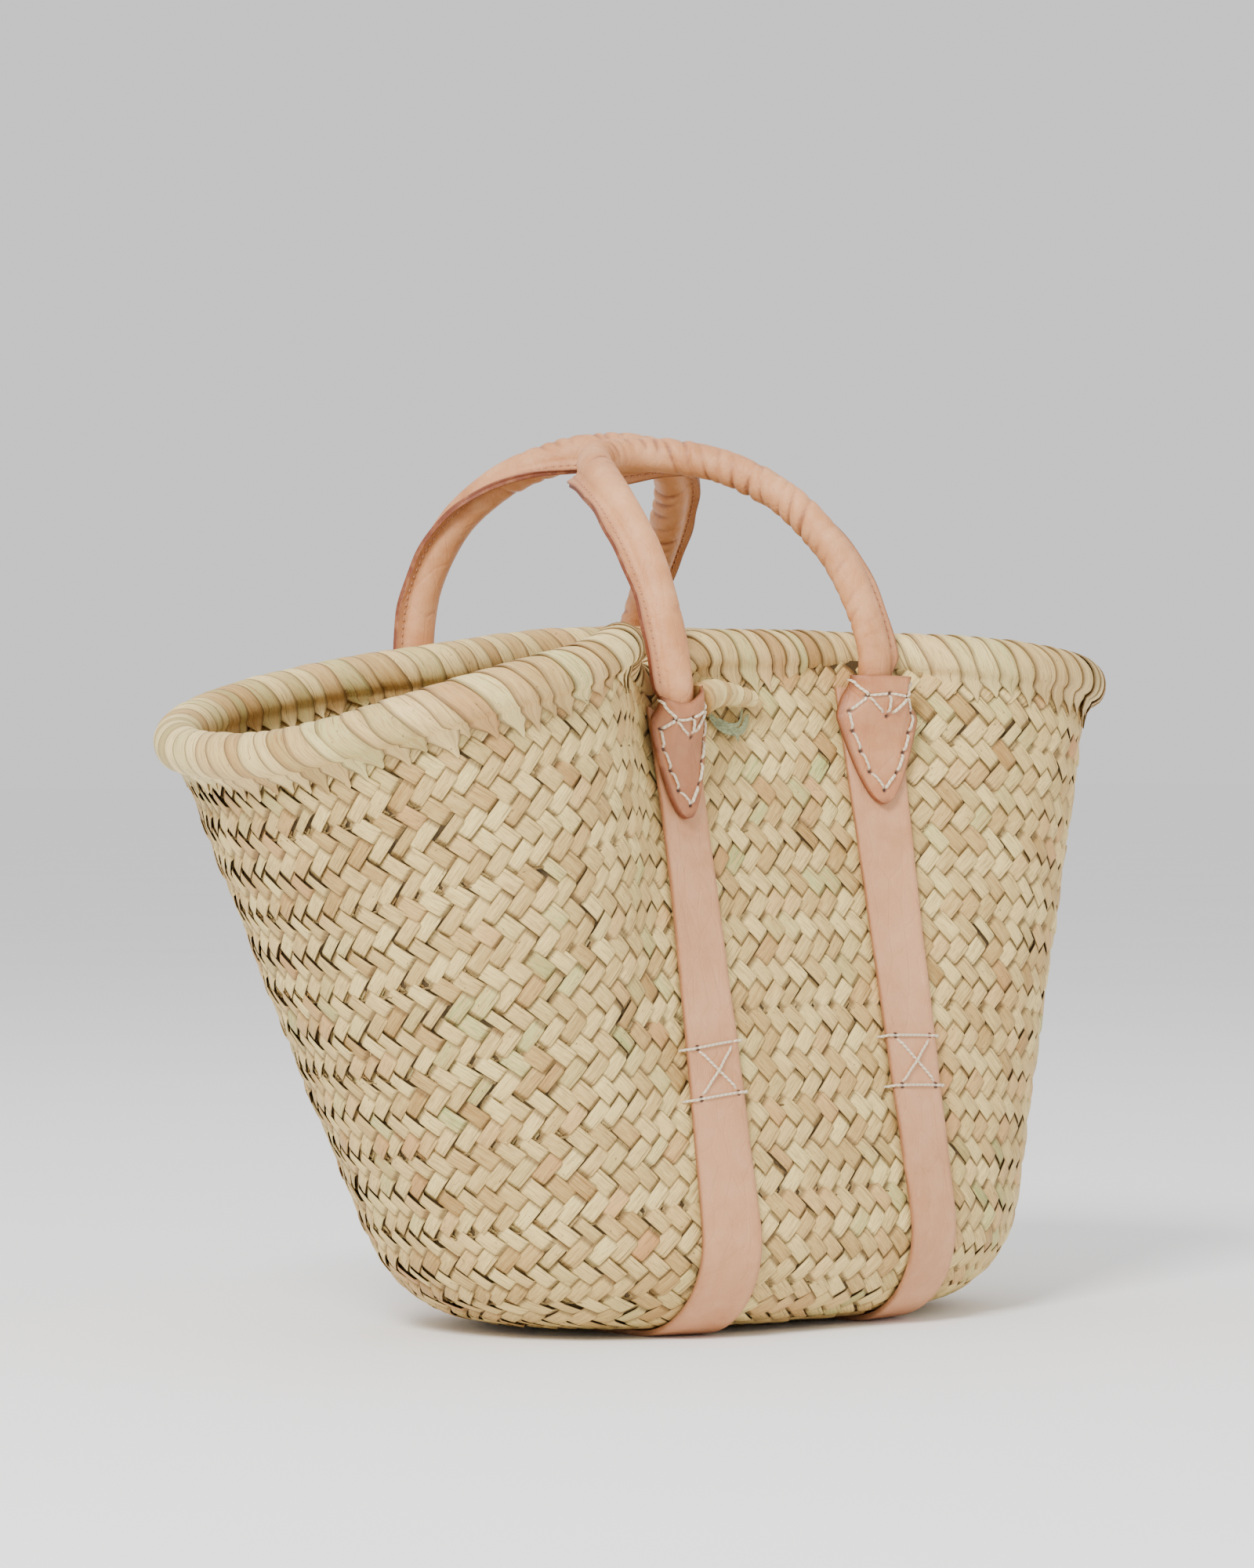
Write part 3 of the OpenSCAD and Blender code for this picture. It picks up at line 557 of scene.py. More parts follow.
def plait(name, surface, count, pitch, parity, k_from, k_to, closed=True, rows=ROWS):
    """Both sets of leaves of one plaited band in 2-over-2 twill, one set leaning right and the other left.

    surface(x, y) gives points and normals of the band's middle for x in leaf spacings and y in rows, and k
    counts the leaves that a leaf crosses. In an open band the leaves are cut off at its two ends.
    """
    stops = (np.arange(-2, rows * 2 + 2, 2)[:, None] + FLOAT_STOPS[None]).ravel()
    k = np.concatenate([[k_from], stops[(stops > k_from + 0.05) & (stops < k_to - 0.05)], [k_to]])
    across, body = LEAF_LOOP.T
    all_verts, all_faces, all_leaf, all_tint, all_wear = [], [], [], [], []
    start = 0
    for lean in (1, -1):
        i = np.arange(count) if closed else np.arange(1 - rows, count) + (rows - 1) * (lean < 0)
        strips = len(i)
        turn = RANDOM.random(strips)
        width = RANDOM.uniform(*LEAF_WIDTH, strips)
        shift = RANDOM.uniform(-LEAF_SHIFT, LEAF_SHIFT, strips)
        kk = k[None, :] + np.zeros((strips, 1))
        if not closed:
            enter = 2 * np.where(lean > 0, -i, i - count) - 0.5
            leave = 2 * np.where(lean > 0, count - i, i) - 0.5
            kk = np.clip(kk, enter[:, None], leave[:, None]) + 1e-3 * k[None, :]
        row = np.floor(kk / 2).astype(int)
        over = np.where((row + parity) % 2 == (0 if lean > 0 else 1), 1.0, -1.0)
        to_dive = np.minimum(kk % 2, 2 - kk % 2)
        crown = 0.86 + 0.14 * np.sin(np.pi * np.clip(to_dive, 0, 1) / 2)
        height = over * smooth(to_dive / DIVE) * crown
        rows_all = rows + 4
        wild = RANDOM.random((4, strips, rows_all))
        pick = np.clip(row + 1, 0, rows_all - 1)
        tipped, swollen, slim, shade = np.take_along_axis(wild, pick[None], axis=2)
        tilt = TILT + (tipped - 0.5) * TILT_RANGE
        puff = 1 + (swollen - 0.5) * PUFF_RANGE
        narrow = np.where(slim > SLIM_ABOVE, SLIM_WIDTH, mix(*FLOAT_WIDTH, slim))
        end_in = np.minimum(kk - k_from, k_to - kk)
        half = 0.5 * width[:, None] * narrow * np.clip(0.75 + end_in, 0, 1)
        # A step of 1 across a leaf is a step of 1/2 along x and 1/2 along y, since leaves run at 45 degrees
        y = (kk + 0.5) / 2
        step = across * half[..., None]
        leaf_x = i[:, None, None] + shift[:, None, None] + lean * y[..., None] + step * 0.5
        leaf_y = y[..., None] - lean * step * 0.5
        lift = (height[..., None] * WEAVE_RISE * puff[..., None] + body * LEAF_BODY
                + tilt[..., None] * across * np.abs(height)[..., None] * TILT_RISE)
        p, n = surface(leaf_x, leaf_y)
        verts, faces = many_tubes(p + n * lift[..., None])
        tint = leaf_tint(p[..., 0, :], lean, turn[:, None], swollen, slim, shade)
        run = kk[..., None] * pitch * COS_45
        leaf = stack(run, (across + 1) / 2, (turn * 9 + lean)[:, None, None])
        # Painted shade: a dark line along each leaf's edges and where a float dives under the crossing leaf
        ends = 1 - smooth((np.abs(height) - 0.1) / 0.6)
        wear = np.maximum((np.abs(across) > EDGE_SHADE_FROM) * 1.0, ends[..., None] * DIVE_SHADE)
        all_verts.append(verts)
        all_faces.append(faces + start)
        all_leaf.append(leaf.reshape(-1, 3))
        all_tint.append(np.repeat(tint.reshape(-1, 4), len(across), axis=0))
        all_wear.append(wear.ravel())
        start += len(verts)
    obj = new_mesh(name, np.concatenate(all_verts), np.concatenate(all_faces), PALM, sharp=52)
    add_values(obj, leaf=np.concatenate(all_leaf))
    add_values(obj, tint=np.concatenate(all_tint))
    add_values(obj, wear=np.concatenate(all_wear))
    return obj


def even_angles(curve):
    """For a closed curve of angle a, its length and a function that gives the angle at each share of it."""
    a = np.linspace(0, 360, 2881)
    run = run_along(curve(a))
    return (lambda f: np.interp(np.mod(f, 1.0), run / run[-1], a) + 360 * np.floor(f)), run[-1]


def backing(name, surface, count, rows=ROWS, slices=240):
    """A thin closed shell between the two faces, in dark leaf colours: painted shade that shows through the
    plait's gaps.
    """
    x = np.linspace(0, count, slices + 1)[:-1]
    y = np.linspace(0, rows, 5)
    p, n = surface(x[:, None] + 0 * y[None], y[None] + 0 * x[:, None])
    loop = np.concatenate([p + n * BACKING_HALF, (p - n * BACKING_HALF)[:, ::-1]], axis=1)
    verts, faces = many_tubes(loop[None], True)
    obj = new_mesh(name, verts, faces, SHADE_BACKING, sharp=60)
    fix_facing(obj)
    add_values(obj, leaf=verts * 0.7)
    add_values(obj, tint=np.tile([0.4, 0.2, 0.2, 1], (len(verts), 1)))


def wall_courses():
    """The wall's plaited bands, from the base up. The last one ends in the rim."""
    row_pitch = 10.1
    for course in range(COURSES):
        t_low, t_high = course / COURSES, (course + 1) / COURSES
        turn_at, length = even_angles(lambda a: wall_point(a, (t_low + t_high) / 2))
        count = round(length / row_pitch)

        def surface(x, y):
            a = turn_at(x / count)
            t = np.clip((course + y / ROWS) / COURSES, 0, None)
            p, n, _ = wall(a, t)
            dent = 0.5 * np.sin(a * 0.31 + t * 9) * np.sin(a * 0.17 - t * 23) * smooth(t * 5)
            return p + n * (dent - MID_DEPTH)[..., None], n

        top = course == COURSES - 1
        leaves = plait(f"wall_course_{course + 1}_leaves", surface, count, row_pitch, course * ROWS,
                       k_from=-0.15 if course else -0.5, k_to=2 * ROWS - (1.6 if top else -0.15))
        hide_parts(f"wall_course_{course + 1}")
        backing(f"wall_course_{course + 1}_backing", surface, count, ROWS - (0.3 if top else 0))


def seam_cords():
    """Two-ply palm cord laced along each seam."""
    station, lay_length, ply_off, ply_r = 4, 9, 0.55, 0.62
    q = np.linspace(0, 2 * np.pi, 6, endpoint=False)
    start, verts, faces, values = 0, [], [], []
    for course in range(COURSES):
        turn_at, length = even_angles(lambda a: wall_point(a, course / COURSES))
        n = int(length / station)
        f = np.arange(n) / n
        p, out, along = wall(turn_at(f), course / COURSES)
        up = np.cross(out, along)
        for ply in (0, np.pi):
            w = (f * 2 * np.pi * round(length / lay_length) + ply)[:, None]
            centre = p - out * MID_DEPTH + ply_off * (np.cos(w) * out + np.sin(w) * up)
            tube, quads = many_tubes((centre[:, None] + ply_r * circle(q, out, up))[None], True)
            verts.append(tube)
            faces.append(quads + start)
            start += len(tube)
            values.append(stack(f[:, None] * length, q / 6.28, ply).reshape(-1, 3))
    obj = new_mesh("seam_cord_plies", np.concatenate(verts), np.concatenate(faces), CORD)
    add_values(obj, leaf=np.concatenate(values))
    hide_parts("seam_cords")


def base_mat():
    """The base: one band coiled round a straight middle band."""
    leaf_pitch, row_pitch = 10.2, 10
    inner_a, inner_b = BASE_A - ROWS * row_pitch + 2, BASE_B - ROWS * row_pitch
    z = BASE_Z + MID_DEPTH

    def ring(a, f):
        x = mix(inner_a, BASE_A, f) * sgn_pow(cosd(a), 2 / BASE_N)
        y = mix(inner_b, BASE_B, f) * sgn_pow(sind(a), 2 / BASE_N)
        return stack(BASE_X + x, BASE_Y + y, z + 0 * x)

    turn_at, length = even_angles(lambda a: ring(a, 0.6))
    count = round(length / leaf_pitch)
    down = np.array([0, 0, -1.0])

    def outer_surface(x, y):
        p = ring(turn_at(x / count), np.clip(y / ROWS, -0.05, 1.02))
        return p, np.broadcast_to(down, p.shape)

    mat = plait("base_mat_leaves", outer_surface, count, row_pitch, 1, -0.6, 2 * ROWS - 0.5)
    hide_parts("base_mat")
    backing("base_backing", outer_surface, count)
    rows = 4
    pitch = 2 * inner_b / rows
    length = 2 * (inner_a + 3) / pitch

    def middle_surface(x, y):
        px = (x - length / 2) * pitch
        p = stack(BASE_X + px, BASE_Y + inner_b - y * pitch, z + 0 * px)
        return p, np.broadcast_to(down, p.shape)

    middle = plait("base_middle_leaves", middle_surface, round(length), pitch, 0, -0.6, 2 * rows - 0.4,
                   closed=False, rows=rows)


# ---------------------------------------------------------------- rim

def rim_wraps():
    """One leaf after another wound slantwise over the roll; each lies on the edge of the one before, and its
    lower ends run to points that go into the weave."""
    turn_at, length = even_angles(lambda a: roll_frame(a)[0])
    widths = []
    while sum(widths) < length - 9:
        widths.append(RANDOM.uniform(7.5, 12.0))
    widths = np.array(widths) * length / sum(widths)
    starts = np.concatenate([[0], np.cumsum(widths)[:-1]])
    m = len(widths)
    # The path of a leaf: down the outer face of the wall, round the roll by angle phi, down the inner face
    phi = np.concatenate([np.full(4, -58.0), np.linspace(-58, 238, 26), np.full(4, 238.0)])
    drop = np.concatenate([[11.0, 7.5, 4.5, 2.0], np.zeros(26), [2.0, 4.5, 7.5, 10.0]])
    ends = np.concatenate([np.linspace(1, 0, 4), np.zeros(26), np.linspace(0, 1, 4)])
    reach = smooth(drop / 6)[:, None]
    g = np.linspace(-1, 1, 7)
    lean = RANDOM.uniform(0.075, 0.1, m)
    fat = RANDOM.uniform(-0.25, 0.25, m)
    long = RANDOM.uniform(0.6, 1.25, m)
    half = widths[:, None] * 0.66 * (1 - 0.9 * smooth(ends))
    # Where the wraps part and show the fibre core, at the left of the front
    parting_angle, parted = 232, np.ones(m)
    parted[np.argmin(np.abs(turn_at(starts / length) - parting_angle))] = 0.55
    centre = (starts + widths / 2)[:, None] + lean[:, None] * (90 - phi)
    centre = centre + ends * 0.33 * widths[:, None] * np.sign(90 - phi)
    centre = centre + 0.5 * np.sin(phi * 0.05 + starts[:, None])
    s = centre[..., None] + g * half[..., None] * parted[:, None, None]
    c, out, up, _ = roll_frame(turn_at(s / length))
    ramp = 0.5 - g * 0.5
    crown = 0.5 * (1 - g ** 2)
    side = np.where(phi < 90, 1.0, -1.0)[:, None]
    tuck = 0.9 * smooth((np.abs(phi - 90) - 120) / 30)[:, None]
    layers = []
    for thick in (0.5, 0.0):
        radius = ROLL_R - 1.75 + fat[:, None, None] + ramp * 1.25 + crown + thick - tuck
        on_wall = side * (WALL_T / 2 + 0.15 + thick + 0.35 * ramp)
        off_x = mix(radius * cosd(phi)[:, None], on_wall, reach)
        off_y = radius * sind(phi)[:, None] - (drop * long[:, None])[..., None]
        layers.append(c + out * off_x[..., None] + up * off_y[..., None])
    loop = np.concatenate([layers[0], layers[1][:, :, ::-1]], axis=2)
    verts, faces = many_tubes(loop)
    obj = new_mesh("rim_wrap_leaves", verts, faces, RIM_LEAF, sharp=60)
    across = np.concatenate([g, g[::-1]])
    leaf = stack((phi * 0.18)[:, None], (across + 1) * 0.7, np.arange(m)[:, None, None] * 1.37)
    tone = RANDOM.random(m)
    pink = np.clip(RANDOM.random(m) * 1.4 - 0.7, 0, 1)
    green = np.clip(RANDOM.random(m) * 1.5 - 0.85, 0, 1)
    tint = stack(tone, pink, green, np.ones(m))[:, None, None]
    add_values(obj, leaf=leaf)
    add_values(obj, tint=np.broadcast_to(tint, (*loop.shape[:3], 4)))
    # Painted shade: a dark line along each wrap's edges, where one wrap lies on the next
    add_values(obj, wear=np.broadcast_to(np.abs(across) ** 8, loop.shape[:3]))
    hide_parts("rim_wrap")


def rim_core():
    """The bundle of palm fibre inside the roll, which shows where two wraps part."""
    turn_at, length = even_angles(lambda a: roll_frame(a)[0])
    f = (np.arange(240) / 240)[:, None]
    c, out, up, _ = roll_frame(turn_at(f[:, 0]))
    w = np.linspace(0, 2 * np.pi, 48, endpoint=False)
    r = ROLL_R - 2.1 + 0.3 * np.sin(w * 24) + 0.12 * np.sin(w * 5 + f * 300)
    loop = c[:, None] + r[..., None] * circle(w, out, up)
    verts, faces = many_tubes(loop[None], True)
    obj = new_mesh("rim_core_fibres", verts, faces, CORD)
    add_values(obj, leaf=stack(f * length, w * 1.9, 0))
    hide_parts("rim_core")


# The rim's tail from root to tip: X, share of the slant and radius; and the turns of its wrapping
TAIL_X, TAIL_T, TAIL_R = (-57, -13), (0.945, 0.928), (7.2, 3.6)
TAIL_TURNS = 7.5


def rim_tail():
    """The end of the roll, wound with leaf, laid in front of its own start and cut to a raw tip."""
    f = np.linspace(0, 1, 120)
    t = mix(*TAIL_T, f)
    p, normal, _ = wall(angle_at(BASE_X + mix(*TAIL_X, f), t, -1), t)
    r = mix(*TAIL_R, f) * (1 - 0.5 * smooth((f - 0.96) / 0.04))
    path = p + normal * (r + CLEAR + 0.3)[:, None]
    side = unit(np.cross(np.gradient(path, axis=0), normal))
    w = np.linspace(0, 2 * np.pi, 32, endpoint=False)
    turns = f[:, None] * TAIL_TURNS + w / (2 * np.pi) * 0.9 + 0.2 * np.sin(w)
    turn = np.floor(turns)
    wind = np.mod(turns, 1.0)
    radius = r[:, None] * (0.88 + 0.2 * wind ** 0.6 - 0.06 * (wind > 0.95))
    verts, faces = many_tubes((path[:, None] + radius[..., None] * circle(w, side, -normal))[None])
    obj = new_mesh("rim_tail_wrapping", verts, faces, RIM_LEAF, sharp=48)
    tone = np.mod(turn * 0.37, 1.0)
    add_values(obj, leaf=stack(w * 5, wind, turn * 2.3))
    # Painted shade: darker where one turn of the wrapping meets the next
    add_values(obj, wear=np.clip(np.abs(wind - 0.5) * 2 - 0.8, 0, 0.2) * 5)
    add_values(obj, tint=stack(tone, 0, 0.2 * tone, 1))
    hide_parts("rim_tail")
    tip, out = path[-1], unit(path[-1] - path[-6])
    tubes = []
    for _ in range(26):
        a, q = RANDOM.uniform(0, 2 * np.pi), RANDOM.uniform(0, 2.6)
        root = tip - out * 2 + q * (np.cos(a) * side[-1] + np.sin(a) * normal[-1])
        bend = RANDOM.normal(0, 0.5, 3)
        length = RANDOM.uniform(3.0, 6.5)
        steps = np.linspace(0, 1, 5)[:, None]
        tubes.append(thread_tube(root + out * length * steps + bend * steps ** 2, 0.2, 5))
    verts, faces = many_tubes(np.array(tubes))
    ends = new_mesh("rim_tail_fibres", verts, faces, CORD)
    add_values(ends, leaf=verts)


def rim_tie():
    """A loose greenish leaf knotted under the tail. Its points are [x, share of the slant, height]."""
    def ribbon(points, width, turn):
        path = smooth_path(points, 36)
        x, t, lift = path[:, 0], path[:, 1], path[:, 2]
        p, n, _ = wall(angle_at(BASE_X + x, t, -1), t)
        centre = p + n * lift[:, None]
        tangent = unit(np.gradient(centre, axis=0))
        flat = unit(np.cross(n, tangent))
        tip = np.linspace(0, 1, 36)
        half = width * np.clip(np.minimum(tip, 1 - tip) * 9 + 0.2, 0, 1)
        across = unit(flat * np.cos(turn) + n * np.sin(turn))
        section = ((-1, 0), (-0.3, 0.35), (0.3, 0.35), (1, 0), (0.3, -0.1), (-0.3, -0.1))
        return np.stack([centre + across * (q * half)[:, None] + n * h for q, h in section], axis=1)

    long_loop = [(-41, 0.915, 1), (-37, 0.895, 2.4), (-30, 0.885, 3.2), (-22, 0.888, 2.6), (-16, 0.91, 1.2)]
    short_loop = [(-38, 0.905, 1.6), (-31, 0.893, 4.0), (-24, 0.897, 3.4), (-19, 0.918, 1.4)]
    loose_end = [(-33, 0.9, 2.5), (-28, 0.88, 4.2), (-26, 0.872, 3.0)]
    loops = [ribbon(long_loop, 1.7, 0.2), ribbon(short_loop, 1.2, 0.5), ribbon(loose_end, 0.9, 0.1)]
    verts, faces = many_tubes(np.array(loops))
    obj = new_mesh("rim_tie_leaf", verts, faces, GREEN_LEAF, sharp=50)
    add_values(obj, leaf=verts * np.array([1, 0.3, 0.3]))
    add_values(obj, tint=np.tile([0.6, 0.0, 0.15, 1], (len(verts), 1)))
    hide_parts("rim_tie")


# ---------------------------------------------------------------- leather

def leather_piece(name, top, bottom, wear, hole, material, node):
    """A closed piece of leather from grids of points on its outer and inner faces."""
    verts, faces = many_tubes(np.concatenate([top, bottom[:, ::-1]], axis=1)[None])
    obj = new_mesh(name, verts, faces, material)
    fix_facing(obj)
    add_values(obj, wear=np.concatenate([wear, np.ones_like(wear)], axis=1))
    add_values(obj, hole=np.concatenate([hole, np.zeros_like(hole)], axis=1))
    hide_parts(node)


def fix_facing(obj):
    """Turns a closed mesh right side out."""
    mesh = obj.data
    co = np.array([v.co for v in mesh.vertices])
    volume = 0.0
    for p in mesh.polygons:
        v = co[list(p.vertices)]
        for j in range(1, len(v) - 1):
            volume += np.dot(v[0], np.cross(v[j], v[j + 1]))
    if volume < 0:
        mesh.flip_normals()


# How far along its curve a strap leaves the wall, its points across, and how far below a foot it starts
STRAP_SHARE = 0.42
STRAP_ACROSS = [0.2, 0.5, 0.8, 0.94, 0.985, 1]
STRAP_HIDDEN = 15


def strap_x(i, v):
    """The middle of strap i, on a curve through both feet and its middle, at share v from front to back."""
    a, b, c = FOOT_X[i], STRAP_MID_X[i], FOOT_X[i + 2]
    return BASE_X + a * (1 - v) * (1 - 2 * v) + 4 * b * v * (1 - v) + c * v * (2 * v - 1)


def strap(i):
    """One strap from under the front tab, down and across the base, and up to the back tab."""
    g = np.array([-q for q in STRAP_ACROSS[::-1]] + STRAP_ACROSS)
    n_wall, n_base = 110, 26
    f = np.linspace(0, 1, n_wall)
    points, normals, lifts = [], [], []
    for side in (-1, 1):
        x = strap_x(i, STRAP_SHARE * f if side < 0 else 1 - STRAP_SHARE * f)
        t = mix(below(i if side < 0 else i + 2, STRAP_HIDDEN), 0.0, f)
        xs = x[:, None] + g[None] * STRAP_W / 2
        p = wall_point(angle_at(xs, t[:, None], side), t[:, None])
        _, n, _ = wall(angle_at(x, t, side), t)
        lift = STRAP_LIFT * smooth((1 - f) * 5)
        down = 1 if side < 0 else -1
        points.append(p[::down])
        normals.append(n[::down])
        lifts.append(lift[::down])
    f = np.linspace(0, 1, n_base + 2)[1:-1]
    over_base = mix(points[0][-1][None], points[1][0][None], f[:, None, None])
    points = np.concatenate([points[0], over_base, points[1]])
    normals = np.concatenate([normals[0], np.tile([0, 0, -1.0], (n_base, 1)), normals[1]])[:, None]
    lift = np.concatenate([lifts[0], np.zeros(n_base), lifts[1]])[:, None]
    run = run_along(points[:, len(STRAP_ACROSS)])[:, None]
    off_base = smooth((np.abs(run - run.mean()) - 40) / 60)
    wave = (0.22 * np.sin(run / 11.0 + i) + 0.16 * np.sin(run / 5.3 + 2 * i)
            + 0.3 * np.sin(run / 23 + g * 1.4)) * off_base
    round_off = 0.75 * np.clip((np.abs(g) - 0.93) / 0.07, 0, 1) ** 2
    outer = BASE_Z + lift + 0.5 * wave - round_off
    inner = CLEAR + lift + 0.3 * np.clip(wave, 0, 1) + 0.4 * round_off
    top, bottom = points + normals * outer[..., None], points + normals * inner[..., None]
    above_floor = 0.01
    top[..., 2] = np.maximum(top[..., 2], above_floor)
    plain = np.zeros(points.shape[:2])
    wear = plain + np.clip((np.abs(g) - 0.9) / 0.1, 0, 1) ** 1.5 * 0.9
    name = ("strap_left", "strap_right")[i]
    leather_piece(name + "_leather", top, bottom, wear, plain, STRAP, name)


def tab_half(f):
    """Half the width of a tab at share f from its tip: a rounded point, then a waist at the collar."""
    pointed = TAB_W / 2 * np.clip(f / 0.66, 0, 1) ** 0.5
    return np.where(f < 0.66, pointed, mix(TAB_W / 2, COLLAR_HALF, smooth((f - 0.66) / 0.26)))


# A handle's flattened end: the share of the tab at its tip, its half width, and the height it lies at
END_SHARE = 0.44
END_HALF = 8
END_Z = BASE_Z + STRAP_LIFT + 2 * CLEAR


def tab_depth(f):
    """How far below the foot a tab's share f lies."""
    return FOOT_GAP + (1 - f) * TAB_LEN


def end_outer(f):
    """Height over the wall of the outer face of a handle's flattened end."""
    return mix(END_Z + 2, FOOT_OUT + FOOT_HALF, smooth((f - END_SHARE) / (1 - END_SHARE)))


def end_inner(f):
    """Height over the wall of its inner face."""
    return mix(END_Z, FOOT_OUT - FOOT_HALF + 0.8, np.clip(f * 3 - 2, 0, None))


def tab_out(k, f):
    """The way out of a tab: square to the wall at its tip and level at its collar."""
    side = side_of(k)
    t = below(k, FOOT_GAP + TAB_LEN)
    tip = wall(angle_at(BASE_X + FOOT_X[k], t, side), t)[1]
    return unit(mix(tip, np.array([0, side, 0.0]), smooth(np.asarray(f))[..., None]))


def tab_height(f, b, half):
    """Height of a tab's inner face over the wall, at share f from its tip and b mm from its middle line."""
    middle = np.where(f < END_SHARE, mix(END_Z, END_Z + 2 + CLEAR, f / END_SHARE), end_outer(f) + CLEAR)
    shoulder = np.clip(middle - 1.4 * f, END_Z, None)
    edge = mix(END_Z, np.clip(middle - 6, END_Z, None), smooth((f - 0.8) / 0.2))
    m = np.minimum(END_HALF + 0.6, half * 0.6)
    inside = mix(middle, shoulder, smooth(b / m))
    return np.where(b < m, inside, mix(shoulder, edge, smooth((b - m) / (half - m + 1e-6))))


def tab_surface(k, f, g, extra):
    """A point on a tab: f from tip to collar, g from -1 to 1 across, extra mm above its inner face."""
    f, g, extra = np.broadcast_arrays(np.asarray(f, float), np.asarray(g, float), np.asarray(extra, float))
    half = tab_half(f)
    t = below(k, tab_depth(f))
    foot = wall_point(angle_at(BASE_X + FOOT_X[k] + g * half, t, side_of(k)), t)
    return foot + tab_out(k, f) * (tab_height(f, np.abs(g) * half, half) + extra)[..., None]


# Holes of a tab as [share from the tip, share across], and how much darker each tab is made
TIP_HOLE, BAR_HOLE, MIDDLE_HOLE = (0.1, 0.0), (0.86, 0.0), (0.68, 0.04)
SIDE_HOLES = ((0.84, 0.62), (0.72, 0.79), (0.56, 0.77), (0.4, 0.7), (0.24, 0.58))
TAB_DARKENING = (0.3, 0.0, 0.12, 0.2)
TAB_HOLES = [TIP_HOLE] + [(f, s * g) for f, g in SIDE_HOLES for s in (-1, 1)] + [BAR_HOLE, MIDDLE_HOLE]
HOLE_R = 1.15


def tab(k):
    """The leather tab that is sewn over a strap's end and a handle's end."""
    f = np.concatenate([np.linspace(0.03, 1, 24) ** 2 * 0.12, np.linspace(0.13, 1, 84)])
    g = np.linspace(-1, 1, 47)
    fg, gg = np.meshgrid(f, g, indexing="ij")
    deep = np.zeros(fg.shape)
    for hf, hg in TAB_HOLES:
        away = np.hypot((fg - hf) * TAB_LEN, (gg - hg) * tab_half(fg))
        deep = np.maximum(deep, bump(away, HOLE_R))
    collar = np.clip((fg - 0.97) / 0.03, 0, 1)
    rim = np.clip(np.clip((np.abs(gg) - 0.9) / 0.1, 0, 1) ** 2 + collar ** 2, 0, 1)
    puff = 0.35 * np.clip(1 - np.abs(gg) ** 3, 0, 1) + 0.18 * np.sin(fg * 21 + gg * 5 + k) * (1 - gg ** 2)
    quilt = 0.35 * bump(np.abs(gg) - 0.66, 0.12) * (fg > 0.15)
    top = tab_surface(k, fg, gg, TAB_T + puff - 0.8 * rim - quilt - 1.2 * deep)
    bottom = tab_surface(k, fg, gg, 0.35 * rim)
    edge = np.clip((np.abs(gg) - 0.86) / 0.12, 0, 1)
    tip = np.clip((0.05 - fg) / 0.05, 0, 1)
    wear = np.clip(np.clip(edge * 0.75 + tip * 0.8 + collar * 0.5, 0, 1) + TAB_DARKENING[k], 0, 1)
    # Painted shade in the sewing holes
    dark = np.clip(deep * 2.2 - 0.5, 0, 1)
    name = CORNERS[k] + "_tab"
    leather_piece(name + "_leather", top, bottom, wear, dark, TAB, name)


def add_threads(name, paths, radius, material, node, body="basket", ups=None, sides=8):
    """Threads along paths of the same number of points, joined in one mesh."""
    ups = ups or [None] * len(paths)
    tubes = [thread_tube(p, radius, sides, 0.8, up) for p, up in zip(paths, ups)]
    verts, faces = many_tubes(np.array(tubes))
    obj = new_mesh(name, verts, faces, material, body)
    round_share = np.arange(sides) / sides
    values = [stack(run_along(p)[:, None], round_share, 0).reshape(-1, 3) for p in paths]
    add_values(obj, leaf=np.concatenate(values))
    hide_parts(node)
    return obj


WAXED_R = 0.75


def tab_threads(k):
    """Waxed thread through the tab's holes: a running stitch down each side, a bar, and a V below it."""
    u = np.linspace(0, 1, 13)

    def stitch(a, b, lift=0.75):
        arch = smooth(np.clip(np.minimum(u, 1 - u) * 6, 0, 1))
        v = mix(0.09, 0.91, u)
        return tab_surface(k, mix(a[0], b[0], v), mix(a[1], b[1], v), TAB_T + mix(-0.9, lift, arch))

    v_hole = MIDDLE_HOLE[0] + 0.01
    paths = []
    for s in (-1, 1):
        holes = [(f, s * g) for f, g in SIDE_HOLES] + [TIP_HOLE]
        corner = holes[0]
        paths += [stitch(a, b) for a, b in zip(holes, holes[1:])]
        paths.append(stitch(corner, BAR_HOLE, 0.8))
        paths.append(stitch(corner, (v_hole, MIDDLE_HOLE[1] + 0.05 * s), 1.1))
        # From the corner hole over the tab's edge, down to the weave
        sink = 1.4 * (1 - smooth(u * 8)) + 4.2 * smooth((u - 0.86) / 0.14)
        paths.append(tab_surface(k, mix(0.84, 0.965, u), s * mix(0.62, 1.03, u), TAB_T + 0.6 - sink))
    paths.append(stitch(BAR_HOLE, (v_hole, MIDDLE_HOLE[1]), 1.3))
    name = CORNERS[k] + "_tab_stitches"
    add_threads(name + "_thread", paths, WAXED_R, THREAD, name)


# Crossed stitches: heights of the two bars, half the way between awl holes and half a bar's length
CROSS_Z = (106, 128)
CROSS_HALF, BAR_HALF = 10.5, 18.5
# Rings of an awl hole: [radius, height over the strap]
AWL_RINGS = ((1.5, -0.2), (1.4, 0.2), (0.9, 0.25), (0.4, 0.1))


